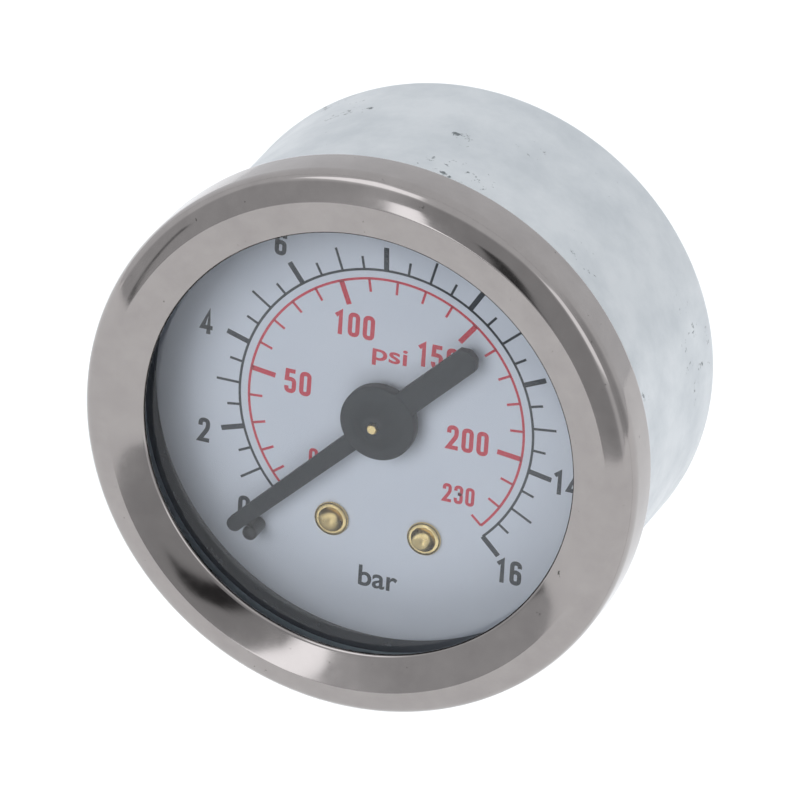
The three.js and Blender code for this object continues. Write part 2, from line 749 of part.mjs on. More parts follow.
function addMovement() {
  const pillarSpots = Object.values(pillars);
  const screwSpots = [[movementScrewX, movementScrewZ], [-movementScrewX, movementScrewZ]];
  const frontHoles = [
    ...pillarSpots.map((spot) => [PLATE_SCREW.shank + FIT_GAP, ...spot]),
    [dialNeckRadius + SEAT_GAP, dialPillarX, dialPillarZ],
    [dialNeckRadius + SEAT_GAP, -dialPillarX, dialPillarZ],
    [studRadius + SEAT_GAP, studX, 0],
    ...screwSpots.map((spot) => [MOVEMENT_SCREW.head + FIT_GAP, ...spot]),
  ];
  const backHoles = [
    ...pillarSpots.map((spot) => [pillarSpigot + SEAT_GAP, ...spot]),
    ...screwSpots.map((spot) => [MOVEMENT_SCREW.shank + FIT_GAP, ...spot]),
  ];
  const frontPlate = movementPlate(frontPlateY, arborRadius + RUN_GAP, frontHoles);
  addPart("movement_front_plate", frontPlate, materials.brass);
  const backPlate = movementPlate(backPlateY, pivotRadius + RUN_GAP, backHoles);
  addPart("movement_back_plate", backPlate, materials.brass);
  for (const [side, [x, z]] of Object.entries(pillars)) {
    addPart(`movement_pillar_${side}`, pillarGeometry(), materials.brass, { x, z });
    const seat = { x, y: frontPlateY - SEAT_GAP, z, turnX: FACING_FRONT };
    addPart(`plate_screw_${side}`, screw(PLATE_SCREW), materials.zincPlate, seat);
  }
  for (const [side, sign] of [["left", -1], ["right", 1]]) {
    const seat = {
      x: sign * movementScrewX,
      y: backPlateY - SEAT_GAP,
      z: movementScrewZ,
      turnX: FACING_FRONT,
    };
    addPart(`movement_screw_${side}`, screw(MOVEMENT_SCREW), materials.zincPlate, seat);
    const foot = { x: sign * dialPillarX, z: dialPillarZ };
    addPart(`dial_pillar_${side}`, dialPillarGeometry(), materials.brass, foot);
  }
}

function addMovingTrain() {
  addPart("pointer", pointerGeometry(), materials.blackPlastic);
  addPart("pinion_arbor", pinionArborGeometry(), materials.brass);
  addPart("sector_gear", sectorGeometry(), materials.brass);
  const sectorArbor = lathe(arborProfile(sectorArborRadius), ROUND_SMALL);
  addPart("sector_arbor", sectorArbor, materials.brass, { x: sectorPivot[0], z: sectorPivot[1] });
}

// ---------- Bourdon tube, tip piece and link ----------
// The flattened section is swept along its arc, open at both ends.
function tubeGeometry() {
  const section = (width, depth) => {
    const shape = new THREE.Path();
    const straight = (width - depth) / 2;
    shape.absarc(straight, 0, depth / 2, -Math.PI / 2, Math.PI / 2);
    shape.absarc(-straight, 0, depth / 2, Math.PI / 2, 1.5 * Math.PI);
    return shape.getPoints(2);
  };
  const shape = new THREE.Shape(section(tubeWidth, tubeDepth));
  const bore = section(tubeWidth - 2 * tubeWall, tubeDepth - 2 * tubeWall);
  shape.holes.push(new THREE.Path(bore.reverse()));
  class TubeLine extends THREE.Curve {
    getPoint(t, target = new THREE.Vector3()) {
      const [x, z] = polar(tubeRadius, tubeRootAngle - tubeArc * t);
      return target.set(x, tubeCentreY, z);
    }
  }
  return new THREE.ExtrudeGeometry(shape, {
    steps: 30,
    bevelEnabled: false,
    extrudePath: new TubeLine(),
  });
}

function pinGeometry(y0, y1) {
  const head = linkPinRadius + pinHeadStep;
  return lathe(
    [
      [0, y0 - pinHeadThick],
      [head - 0.1, y0 - pinHeadThick],
      [head, y0],
      [linkPinRadius, y0],
      [linkPinRadius, y1],
      [head, y1],
      [head, y1 + pinHeadThick],
      [0, y1 + pinHeadThick],
    ],
    ROUND_SMALL,
  );
}

function tipPieceGeometry() {
  const gapAngle = 0.5;
  const start = tubeEndAngle - gapAngle;
  const halfWidth = tubeWidth / 2 + 0.1;
  const halfDepth = tubeDepth / 2 + 0.15;
  const block = plate(
    arcOutline(tubeRadius - halfDepth, tubeRadius + halfDepth, start - 8, start),
    tubeCentreY - halfWidth,
    tubeCentreY + halfWidth,
  );
  const lugOutline = barOutline(tipPinAt, polar(tubeRadius - 0.4, start - 4), linkEyeRadius);
  const lug = plate(lugOutline, sectorY, sectorY + sectorThick);
  const hole = drill(linkPinRadius + RUN_GAP, sectorY - OVERRUN, linkY + OVERRUN, ...tipPinAt);
  return cut(join(block, lug), hole);
}

function linkGeometry() {
  const backY = linkY + linkThick;
  const bar = plate(barOutline(tipPinAt, linkScrewAt, linkEyeRadius), linkY, backY);
  const eye = (gap, spot) =>
    drill(linkPinRadius + gap, linkY - OVERRUN, backY + OVERRUN, ...spot);
  return cut(bar, eye(RUN_GAP, tipPinAt), eye(openPivotGap, linkScrewAt));
}

function addLinkage() {
  addPart("bourdon_tube", tubeGeometry(), materials.bronze);
  addPart("tube_tip", tipPieceGeometry(), materials.brass);
  addPart("link", linkGeometry(), materials.brass);
  const shank = [sectorY - SEAT_GAP, linkY + linkThick + SEAT_GAP];
  for (const [name, [x, z]] of [["tip_pin", tipPinAt], ["link_screw", linkScrewAt]]) {
    addPart(name, pinGeometry(...shank), materials.zincPlate, { x, z });
  }
}

// ---------- Socket ----------
function threadProfile() {
  const major = threadMajor / 2;
  const root = major - threadDepth;
  const turns = Math.floor((threadLength - threadRunout - threadPitch) / threadPitch);
  const start = shoulderY + threadRunout;
  const crests = Array.from({ length: turns }, (_, i) => [
    [root, start + i * threadPitch],
    [major, start + (i + 0.5) * threadPitch],
  ]).flat();
  const last = start + turns * threadPitch;
  const shank = [
    [major, shoulderY - OVERLAP],
    [major, start - threadPitch / 2],
  ];
  return [...shank, ...crests, [root, last], [root, stemEndY]];
}

function socketGeometry() {
  const stem = lathe([[0, shoulderY - OVERLAP], ...threadProfile(), [0, stemEndY]], ROUND_MEDIUM);
  const half = squareFlats / 2;
  const square = plate(roundedRectangle(half, half, squareCorner), squareY, shoulderY);
  const neck = disc(neckRadius, earBackY - OVERLAP, squareY + OVERLAP, ROUND_MEDIUM);
  const earOutline = roundedRectangle(caseScrewX + earMargin, earHalfHeight, earCorner);
  const ears = plate(earOutline, earFrontY, earBackY);
  const blockOutline = rectangle(-blockHalfWidth, blockBottom, blockHalfWidth, blockTop);
  const block = plate(blockOutline, blockFrontY, blockBackY);
  const postOutline = arcOutline(
    postInner,
    postOuter,
    tubeRootAngle + postFromRoot,
    tubeRootAngle + postSpan,
  );
  const postFrontY = tubeCentreY - tubeWidth / 2 - FIT_GAP;
  const post = plate(postOutline, postFrontY, blockFrontY + OVERLAP);
  const body = join(stem, square, neck, ears, block, post);
  const port = disc(portRadius, passageY - drillRadius, stemEndY + OVERRUN, ROUND_SMALL);
  return cut(body, port, ...passages(), ...socketHoles());
}

// The drilled way from the port down the block and out at the tube's root.
function passages() {
  const bottom = blockBottom - OVERRUN;
  const riser = rodBetween([0, passageY, bottom], [0, passageY, 0], drillRadius);
  const plugTop = [0, passageY, blockBottom + plugLength];
  const counterbore = rodBetween([0, passageY, bottom], plugTop, plugRadius + SEAT_GAP);
  const [rootX, rootZ] = polar(tubeRadius, tubeRootAngle);
  const meeting = [0, passageY, rootZ + drillRadius];
  const slant = rodBetween([rootX, tubeCentreY, rootZ], meeting, slantRadius);
  return [riser, counterbore, slant];
}

function socketHoles() {
  const caseHole = (x) =>
    drill(CASE_SCREW.shank + SEAT_GAP, earFrontY + earFloor, earBackY + OVERRUN, x, 0);
  const movementHoleEnd = blockFrontY + MOVEMENT_SCREW.reach;
  const movementHole = (x) =>
    drill(
      MOVEMENT_SCREW.shank + SEAT_GAP,
      blockFrontY - OVERRUN,
      movementHoleEnd,
      x,
      movementScrewZ,
    );
  return [-1, 1].flatMap((side) => [
    caseHole(side * caseScrewX),
    movementHole(side * movementScrewX),
  ]);
}

function restrictorGeometry() {
  const endY = stemEndY - restrictorDepth;
  const radius = portRadius - RUN_GAP;
  const body = ring(restrictorBore, radius, endY - restrictorLength, endY, ROUND_SMALL);
  const slotHalf = 0.2;
  const slotOutline = rectangle(-portRadius, -slotHalf, portRadius, slotHalf);
  return cut(body, plate(slotOutline, endY - OVERLAP, endY + OVERRUN));
}

function addSocket() {
  addPart("socket", socketGeometry(), materials.brass);
  const plugBottom = blockBottom - SEAT_GAP;
  const plugTop = plugBottom + plugLength;
  const plug = rodBetween([0, passageY, plugBottom], [0, passageY, plugTop], plugRadius);
  addPart("passage_plug", plug, materials.brass);
  addPart("restrictor_screw", restrictorGeometry(), materials.zincPlate);
  const seal = ring(neckRadius + FIT_GAP, sealOuter, sealBackY - sealThick, sealBackY, ROUND_MEDIUM);
  addPart("stem_seal", seal, materials.rubber);
  for (const [side, sign] of [["left", -1], ["right", 1]]) {
    const seat = { x: sign * caseScrewX, y: caseDepth + SEAT_GAP };
    addPart(`case_screw_${side}`, screw(CASE_SCREW), materials.zincPlate, seat);
  }
}

addFront();
addDial();
addMovingTrain();
addHairspring();
addMovement();
addLinkage();
addSocket();
group.position.y = -shoulderY;

export default group;
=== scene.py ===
# %% [markdown]
# A panel pressure gauge, nominal size 40, with a steel case, a flared steel bezel, a printed
# dial and a brass stem in the middle of its back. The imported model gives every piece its
# place. This notebook gives each piece that can be seen its fine shape and its finish.
# All lengths are written in millimetres and turned into metres when a mesh is made.

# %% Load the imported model
import math

import bmesh
import bpy
from mathutils import Matrix, Vector


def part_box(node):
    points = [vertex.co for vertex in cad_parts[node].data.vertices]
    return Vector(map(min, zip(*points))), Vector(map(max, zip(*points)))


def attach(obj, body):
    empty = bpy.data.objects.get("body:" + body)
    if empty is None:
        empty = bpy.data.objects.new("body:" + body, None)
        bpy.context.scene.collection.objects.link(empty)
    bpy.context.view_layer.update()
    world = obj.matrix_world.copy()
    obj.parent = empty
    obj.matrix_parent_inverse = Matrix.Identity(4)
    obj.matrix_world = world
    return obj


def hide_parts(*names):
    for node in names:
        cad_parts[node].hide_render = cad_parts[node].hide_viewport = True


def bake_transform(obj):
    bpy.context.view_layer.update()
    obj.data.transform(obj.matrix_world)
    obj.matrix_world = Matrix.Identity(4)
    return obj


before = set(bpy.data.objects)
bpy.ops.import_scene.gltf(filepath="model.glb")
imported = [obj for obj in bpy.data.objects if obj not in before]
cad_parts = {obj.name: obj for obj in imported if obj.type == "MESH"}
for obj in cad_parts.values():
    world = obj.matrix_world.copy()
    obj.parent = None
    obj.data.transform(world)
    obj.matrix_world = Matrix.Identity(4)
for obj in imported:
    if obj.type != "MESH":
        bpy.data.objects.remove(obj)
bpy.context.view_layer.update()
MM = 0.001

# %% [markdown]
# The gauge's axis is Y: the dial faces -Y, the stem points to +Y, and the top of the dial is
# +Z. Depths are easiest to read from the printed face of the dial, so every y below is
# measured from there, positive towards the back, as on a section drawing of the gauge.

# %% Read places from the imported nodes
DIAL_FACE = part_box("dial")[0].y / MM


def front_of(node):
    """How far back the foremost point of a node is from the dial's face, in millimetres."""
    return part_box(node)[0].y / MM - DIAL_FACE


def back_of(node):
    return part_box(node)[1].y / MM - DIAL_FACE


def half_width(node):
    """Half of a node's size along X, which is its radius if it is round and on the axis."""
    low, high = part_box(node)
    return (high.x - low.x) / 2 / MM


def middle(node):
    """The X and Z of a node's middle, in millimetres."""
    low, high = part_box(node)
    return (low.x + high.x) / 2 / MM, (low.z + high.z) / 2 / MM


SEAT_GAP = 0.05  # between stacked faces
print(f"dial face at y {DIAL_FACE:.2f}, bezel radius {half_width('bezel'):.2f}")

# %% [markdown]
# The camera comes first. It stands to the right of the gauge and above it, and it is turned a
# little about its own line of sight, so that the gauge leans. A long lens from over a metre
# away keeps the front and the back of the case nearly the same size.

# %% Set up the camera
CAMERA_AZIMUTH = 18.94  # degrees to the right of straight in front
CAMERA_ELEVATION = 25.52
CAMERA_ROLL = 3.89
CAMERA_DISTANCE = 1.2  # metres
SENSOR = 36.0
PICTURE_WIDTH = 61.26  # what the picture spans at the dial's centre, in millimetres
AIM_RIGHT = 1.074  # the aim is this far from the dial's centre, across the picture
AIM_UP = 1.086


def camera_axes(azimuth, elevation, roll):
    """The camera's right, up and back directions in the gauge's frame."""
    a, e, r = (math.radians(x) for x in (azimuth, elevation, roll))
    back = Vector((math.sin(a) * math.cos(e), -math.cos(a) * math.cos(e), math.sin(e)))
    level = Vector((math.cos(a), math.sin(a), 0))
    upright = back.cross(level)
    right = level * math.cos(r) + upright * math.sin(r)
    return right, back.cross(right), back


right, up, back = camera_axes(CAMERA_AZIMUTH, CAMERA_ELEVATION, CAMERA_ROLL)
aim = Vector((0, DIAL_FACE, 0)) + right * AIM_RIGHT + up * AIM_UP
camera_data = bpy.data.cameras.new("camera")
camera_data.sensor_width = SENSOR
camera_data.lens = SENSOR * CAMERA_DISTANCE / (PICTURE_WIDTH * MM)
camera_data.clip_start, camera_data.clip_end = 0.05, 50
camera = bpy.data.objects.new("camera", camera_data)
bpy.context.scene.collection.objects.link(camera)
turn = Matrix((right, up, back)).transposed().to_4x4()
camera.matrix_world = Matrix.Translation(aim * MM + back * CAMERA_DISTANCE) @ turn
bpy.context.scene.camera = camera
print(f"lens {camera_data.lens:.0f} mm from {CAMERA_DISTANCE} m")

# %% [markdown]
# Nearly every piece of a gauge is turned or spun, so one helper does most of the shapes: it
# takes a section as corners [radius, y, rounding], rounds them, and spins the outline round
# the axis. A Screw modifier could do the same, but a mesh made in code is closed and clean,
# which matters for glass and for the meshes themselves.

# %% Turn a section round the axis
ROUND = 192  # facets round a large piece
FINE = 64  # facets round a small one


def rounded(corners, steps=5):
    """The outline through [a, b, rounding] corners, each turned into a short curve."""
    points = []
    for i, (a, b, rounding) in enumerate(corners):
        here = Vector((a, b))
        if rounding == 0:
            points.append(here)
            continue
        before = Vector(corners[i - 1][:2])
        after = Vector(corners[(i + 1) % len(corners)][:2])
        start = here + (before - here).normalized() * rounding
        end = here + (after - here).normalized() * rounding
        for k in range(steps + 1):
            t = k / steps
            points.append(start * (1 - t) ** 2 + here * 2 * t * (1 - t) + end * t * t)
    return points


def spin(corners, facets=ROUND, x=0.0, z=0.0, steps=5):
    """A closed mesh, turned about the line along Y through x and z."""
    outline = rounded(corners, steps)
    bm = bmesh.new()
    rings = []
    for i in range(facets):
        angle = 2 * math.pi * i / facets
        c, s = math.cos(angle), math.sin(angle)
        rings.append([bm.verts.new(((x + r * c) * MM, (y + DIAL_FACE) * MM, (z + r * s) * MM))
                      for r, y in outline])
    for i, ring in enumerate(rings):
        following = rings[(i + 1) % facets]
        for j in range(len(outline)):
            k = (j + 1) % len(outline)
            bm.faces.new((ring[j], ring[k], following[k], following[j]))
    bmesh.ops.remove_doubles(bm, verts=bm.verts, dist=1e-8)
    bmesh.ops.recalc_face_normals(bm, faces=bm.faces)
    return bm


# %% [markdown]
# Flat pieces, such as the pointer, are cut from sheet. They start as an outline drawn in X and
# Z and get their thickness along Y.

# %% Give an outline its thickness
def slab(outline, y0, y1, bm=None):
    """A closed prism over an outline of (x, z) points, from y0 to y1, added to bm."""
    bm = bm or bmesh.new()
    sides = []
    for y in (y0, y1):
        sides.append([bm.verts.new((x * MM, (y + DIAL_FACE) * MM, z * MM)) for x, z in outline])
    made = [bm.faces.new(sides[0]), bm.faces.new(list(reversed(sides[1])))]
    for i in range(len(outline)):
        k = (i + 1) % len(outline)
        made.append(bm.faces.new((sides[0][i], sides[1][i], sides[1][k], sides[0][k])))
    bmesh.ops.recalc_face_normals(bm, faces=made)
    return bm


def arc(radius, start, end, steps, x=0.0, z=0.0):
    """Points on an arc, with its angles in degrees clockwise from the top of the dial."""
    points = []
    for k in range(steps + 1):
        angle = math.radians(start + (end - start) * k / steps)
        points.append((x + radius * math.sin(angle), z + radius * math.cos(angle)))
    return points


# %% [markdown]
# A mesh becomes a piece of the gauge in one step: it gets its finish, its smooth shading up
# to sharp edges and the body that it rides on, and the imported nodes that it stands for are hidden.

# %% Make a piece
SHARP = math.radians(32)


def place(name, data):
    """A new object for this data, in the scene."""
    made = bpy.data.objects.new(name, data)
    bpy.context.scene.collection.objects.link(made)
    return made


def piece(name, bm, finish, nodes=(), body="housing"):
    mesh = bpy.data.meshes.new(name)
    bm.to_mesh(mesh)
    bm.free()
    mesh.shade_smooth()
    mesh.set_sharp_from_angle(angle=SHARP)
    made = place(name, mesh)
    mesh.materials.append(finish)
    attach(made, body)
    if nodes:
        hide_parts(*nodes)
    print(f"{name}: {len(mesh.polygons)} faces")
    return made


def soften(made, width, segments=2):
    """Rounds the sharp edges of a piece by a small radius."""
    bevel = made.modifiers.new("edges", "BEVEL")
    bevel.width = width * MM
    bevel.segments = segments
    bevel.limit_method = "ANGLE"
    bevel.angle_limit = SHARP
    return made


def combine(bm, tool, operation):
    """bm joined with or cut by tool, both closed meshes."""
    pair = []
    for name, source in (("work", bm), ("tool", tool)):
        mesh = bpy.data.meshes.new(name)
        source.to_mesh(mesh)
        source.free()
        pair.append(place(name, mesh))
    step = pair[0].modifiers.new("step", "BOOLEAN")
    step.operation = operation
    step.solver = "EXACT"
    step.object = pair[1]
    bpy.context.view_layer.update()
    seen = pair[0].evaluated_get(bpy.context.evaluated_depsgraph_get())
    result = bmesh.new()
    result.from_mesh(seen.to_mesh())
    seen.to_mesh_clear()
    for made in pair:
        mesh = made.data
        bpy.data.objects.remove(made)
        bpy.data.meshes.remove(mesh)
    return result


# %% [markdown]
# Every finish is a small tree of nodes. Colours are written as sRGB hex values, as a paint
# chart gives them, and one function turns them into the linear values that light is added up
# in. One other function adds a node with its settings and its links. Patterns read the Object
# coordinates, which are metres, so a grain of s millimetres needs a scale of 1 / (s * MM).

# %% Colours and nodes
def linear(colour):
    channels = [int(colour[i:i + 2], 16) / 255 for i in (1, 3, 5)]
    return (*[c / 12.92 if c <= 0.04045 else ((c + 0.055) / 1.055) ** 2.4 for c in channels], 1.0)


def add(tree, kind, inputs=(), **settings):
    """A node of that kind. inputs gives sockets by name or number a value or a link."""
    made = tree.nodes.new(kind)
    for name, value in settings.items():
        setattr(made, name, value)
    for socket, value in dict(inputs).items():
        if isinstance(value, bpy.types.NodeSocket):
            tree.links.new(value, made.inputs[socket])
        else:
            made.inputs[socket].default_value = value
    return made


def per_mm(size):
    """The texture scale that makes one grain this many millimetres wide."""
    return 1 / (size * MM)


def start(name):
    """A new material with its tree, its output and the Object coordinates."""
    material = bpy.data.materials.new(name)
    material.use_nodes = True
    material.node_tree.nodes.clear()
    tree = material.node_tree
    where = add(tree, "ShaderNodeTexCoord").outputs["Object"]
    return material, tree, where


def show(tree, shader):
    add(tree, "ShaderNodeOutputMaterial", {"Surface": shader})


def mixed(tree, share, low, high):
    """Goes from one colour to another with a share from 0 to 1."""
    ramp = add(tree, "ShaderNodeValToRGB", {"Fac": share})
    ramp.color_ramp.elements[0].color = linear(low)
    ramp.color_ramp.elements[1].color = linear(high)
    return ramp.outputs["Color"]


def noise(tree, where, size, detail=2.0, roughness=0.5):
    """Blender's noise with grains of this size in millimetres, as a value from 0 to 1."""
    return add(tree, "ShaderNodeTexNoise", {"Vector": where, "Scale": per_mm(size),
                                            "Detail": detail, "Roughness": roughness}).outputs["Fac"]


def between(tree, value, low, high, to_low=0.0, to_high=1.0):
    """Maps low..high of a value to to_low..to_high, and holds it there outside them."""
    return add(tree, "ShaderNodeMapRange", {"Value": value, "From Min": low, "From Max": high,
                                            "To Min": to_low, "To Max": to_high}).outputs[0]


def stained(tree, share, colour, stain):
    """A colour with another laid over it where share is 1; it lays the real stains, and the painted shade
    in the thread's roots.
    """
    return add(tree, "ShaderNodeMix", {"Factor": share, 6: colour, 7: linear(stain)},
               data_type="RGBA").outputs[2]


def bumped(tree, height, distance, **under):
    """A bump this many millimetres high."""
    return add(tree, "ShaderNodeBump", {"Height": height, "Strength": 1.0,
                                        "Distance": distance * MM, **under}).outputs[0]


def finished(material, tree, colour, rough, **more):
    """Ends a material with the shader that nearly all of them use."""
    shader = add(tree, "ShaderNodeBsdfPrincipled",
                 {"Base Color": colour, "Roughness": rough, **more})
    show(tree, shader.outputs[0])
    return material


def from_axis(tree, where):
    """How far a point is from the gauge's axis, its X, Y and Z, and X and Z alone."""
    parts = add(tree, "ShaderNodeSeparateXYZ", {0: where})
    flat = add(tree, "ShaderNodeCombineXYZ", {"X": parts.outputs["X"], "Z": parts.outputs["Z"]})
    radius = add(tree, "ShaderNodeVectorMath", {0: flat.outputs[0]}, operation="LENGTH")
    return radius.outputs["Value"], parts, flat


print("white in linear light", linear("#ffffff")[:3])

# %% [markdown]
# The bezel is stainless steel, pressed from sheet and polished on a lathe. Polishing leaves
# fine rings, which spread each reflection a little across them, and a slight waviness from
# the pressing, which bends long reflections. The rings are too fine to see one by one, so
# they are drawn 0.12 mm apart, which is as coarse as they need to be to show. A few pits are
# left where the polish did not reach the bottom of the sheet's grain.

# %% Polished stainless steel
RING_GRAIN = 0.12
PRESS_WAVE = 9.0
SMEAR = 2.2
PIT = 0.8


def ring_coordinates(tree, where, along):
    """Coordinates that run across the rings of a turned surface, and slowly round them."""
    radius, parts, flat = from_axis(tree, where)
    across = add(tree, "ShaderNodeMath", {0: radius, 1: parts.outputs["Y"]}, operation="ADD")
    facing = add(tree, "ShaderNodeVectorMath", {0: flat.outputs[0]}, operation="NORMALIZE")
    slow = add(tree, "ShaderNodeVectorMath", {0: facing.outputs[0], "Scale": along * MM},
               operation="SCALE")
    spread = add(tree, "ShaderNodeSeparateXYZ", {0: slow.outputs[0]})
    return add(tree, "ShaderNodeCombineXYZ", {"X": across.outputs[0], "Y": spread.outputs["X"],
                                              "Z": spread.outputs["Z"]}).outputs[0]


def polished_stainless():
    material, tree, where = start("polished_stainless_steel")
    rings = noise(tree, ring_coordinates(tree, where, 0.25), RING_GRAIN)
    wave = noise(tree, where, PRESS_WAVE, 1.0)
    smear = noise(tree, where, SMEAR, 5.0, 0.6)
    pitted = between(tree, noise(tree, where, PIT, 3.0, 0.7), 0.71, 0.75)
    colour = stained(tree, pitted, mixed(tree, smear, "#96918f", "#aba6a3"), "#55534f")
    low = bumped(tree, wave, 0.06)
    return finished(material, tree, colour, between(tree, smear, 0.3, 0.7, 0.07, 0.12),
                    Metallic=1.0, Normal=bumped(tree, rings, 0.0008, Normal=low))


STAINLESS = polished_stainless()
print("made", STAINLESS.name)

# %% [markdown]
# The case is drawn from mild steel and zinc plated with a pale blue passivate. The plating
# is a fine frost of crystals: it shines softly, drifts between blue and grey from place to
# place, and picks up dark specks and rubbed spots in the barrel. The noise that mottles it
# is 5 mm across, the frost 0.15 mm, and the specks are the rare peaks of a third noise.

# %% Blue zinc plate
MOTTLE = 5.0
FROST = 0.15
SPECK = 0.9
RUBBED = 7.0


def zinc_plate(name="blue_zinc_plate", pale="#d4d8da", deep="#c8cdd0", specks=True):
    material, tree, where = start(name)
    mottle = noise(tree, where, MOTTLE, 6.0, 0.62)
    colour = mixed(tree, between(tree, mottle, 0.35, 0.65), deep, pale)
    if specks:
        both = add(tree, "ShaderNodeMath", {0: noise(tree, where, SPECK, 4.0, 0.7),
                                            1: noise(tree, where, RUBBED)},
                   operation="MULTIPLY").outputs[0]
        colour = stained(tree, between(tree, both, 0.385, 0.43), colour, "#6f7678")
    return finished(material, tree, colour, between(tree, mottle, 0.3, 0.7, 0.5, 0.36),
                    Metallic=0.85, Normal=bumped(tree, noise(tree, where, FROST, 3.0), 0.002))


CASE_ZINC = zinc_plate()
SCREW_ZINC = zinc_plate("zinc_plated_screw", "#c9ccc8", "#a9adab", specks=False)
print("made", CASE_ZINC.name, SCREW_ZINC.name)

# %% [markdown]
# The dial is an aluminium disc sprayed with white enamel. The enamel is smooth, with a faint
# orange peel and a sheen that is nearly matte. Its inks are screen printed: a film a
# hundredth of a millimetre thick, a little glossier than the enamel, with slightly uneven
# cover. The inks are pieces of their own, lying on the enamel.

# %% Dial enamel and inks
def enamel():
    material, tree, where = start("white_dial_enamel")
    colour = mixed(tree, noise(tree, where, 6.0, 3.0), "#dcdee8", "#e4e5ed")
    return finished(material, tree, colour, 0.5, IOR=1.5,
                    Normal=bumped(tree, noise(tree, where, 0.5), 0.002))


def ink(name, deep, thin):
    material, tree, where = start(name)
    colour = mixed(tree, noise(tree, where, 0.25, 4.0, 0.7), deep, thin)
    return finished(material, tree, colour, 0.42, IOR=1.5)


ENAMEL = enamel()
BLACK_INK = ink("black_screen_ink", "#21252d", "#2d323b")
RED_INK = ink("red_screen_ink", "#d2223a", "#dc3e52")
print("made", ENAMEL.name, BLACK_INK.name, RED_INK.name)

# %% [markdown]
# The pointer is aluminium with a matte black paint, which is rough at a tenth of a
# millimetre and catches a little grey dust. The stop pin is moulded from black nylon, and
# the spacer from black ABS: smooth, with a gloss that shows a soft line of light. The gasket
# and the seal are grey nitrile rubber, dull and slightly mottled.

# %% Black paint, plastic and rubber
def soft_finish(name, deep, worn, roughness, grain, height, ior=1.5):
    material, tree, where = start(name)
    dust = noise(tree, where, 1.6, 5.0, 0.65)
    rough = between(tree, dust, 0.3, 0.7, roughness * 0.85, roughness * 1.15)
    skin = bumped(tree, noise(tree, where, grain, 3.0), height)
    return finished(material, tree, mixed(tree, dust, deep, worn), rough, IOR=ior, Normal=skin)


BLACK_PAINT = soft_finish("matte_black_paint", "#161b21", "#20262c", 0.62, 0.1, 0.004)
BLACK_NYLON = soft_finish("black_nylon", "#0b0d10", "#121518", 0.18, 0.3, 0.003)
BLACK_ABS = soft_finish("black_abs", "#12171c", "#1c232a", 0.25, 0.4, 0.002)
RUBBER = soft_finish("nitrile_rubber", "#98a1a6", "#a9b1b5", 0.7, 0.2, 0.006, ior=1.52)
print("made", BLACK_PAINT.name, BLACK_ABS.name, RUBBER.name)

# %% [markdown]
# The window is clear acrylic sheet. A full glass shader bends the light and hides the dial
# from the lamps, which costs a lot of noise for a flat pane. A pane this thin can instead let
# the light straight through and mirror a share of it that grows with the slant, which is
# what the Fresnel node gives at acrylic's index of 1.49.

# %% Clear acrylic
def acrylic():
    material, tree, where = start("clear_acrylic")
    mirror = add(tree, "ShaderNodeFresnel", {"IOR": 1.49})
    rough = between(tree, noise(tree, where, 4.0, 3.0), 0.0, 1.0, 0.02, 0.06)
    clear = add(tree, "ShaderNodeBsdfTransparent", {"Color": linear("#fbfdfe")})
    gloss = add(tree, "ShaderNodeBsdfGlossy", {"Roughness": rough})
    pane = add(tree, "ShaderNodeMixShader", {0: mirror.outputs[0], 1: clear.outputs[0],
                                             2: gloss.outputs[0]})
    show(tree, pane.outputs[0])
    return material


ACRYLIC = acrylic()
print("made", ACRYLIC.name)

# %% [markdown]
# The stem, the rivets and the movement are brass. Turned brass shows fine rings, a warm
# yellow in its highlights and a browner tone where it has tarnished a little. The tube and
# the hairspring are phosphor bronze, which is redder and, drawn or rolled, smoother.

# %% Brass and bronze
def copper_alloy(name, bright, dull, roughness, tool_grain, painted_root_shade=None):
    material, tree, where = start(name)
    tarnish = noise(tree, where, 2.4, 5.0, 0.65)
    rings = noise(tree, ring_coordinates(tree, where, 0.3), tool_grain)
    colour = mixed(tree, tarnish, dull, bright)
    # Painted shade: the thread's grooves are darkened to a dark brown towards their roots, over the cut
    # part of the stem.
    if painted_root_shade:
        root, crest, first, last = painted_root_shade
        radius, parts, _ = from_axis(tree, where)
        deep = between(tree, radius, crest * MM, root * MM)
        along = add(tree, "ShaderNodeMath", {0: parts.outputs["Y"], 1: (first + last) / 2 * MM,
                                             2: (last - first) / 2 * MM}, operation="COMPARE")
        groove_shade = add(tree, "ShaderNodeMath", {0: deep, 1: along.outputs[0]}, operation="MULTIPLY")
        colour = stained(tree, groove_shade.outputs[0], colour, "#4a3517")
    rough = between(tree, tarnish, 0.3, 0.7, roughness * 1.3, roughness * 0.8)
    return finished(material, tree, colour, rough, Metallic=1.0,
                    Normal=bumped(tree, rings, 0.003))


TURNED_BRASS = copper_alloy("turned_brass", "#d9bd82", "#ab8a50", 0.26, 0.12)
# Painted shade in the roots of the thread, given by its root and crest radius, and the part of
# the stem that is cut, in millimetres.
STEM_BRASS = copper_alloy("stem_brass", "#d6ba80", "#a88850", 0.3, 0.12, (4.3, 4.8, 0.3, 9.4))
SHEET_BRASS = copper_alloy("rolled_brass_sheet", "#d9b973", "#b08a4c", 0.3, 0.2)
PALE_BRASS = copper_alloy("burnished_brass", "#fbe2a6", "#e2bf80", 0.26, 0.1)
BRONZE = copper_alloy("phosphor_bronze", "#c79a6a", "#9c6f45", 0.28, 0.3)
print("made", TURNED_BRASS.name, SHEET_BRASS.name, BRONZE.name)

# %% [markdown]
# The bezel is one spun ring. Its face rises from the opening to a crest, turns over it and
# runs back as a skirt, and its rear edge is rolled in behind the case's rim, which is what
# holds the window, the gasket and the spacer together.

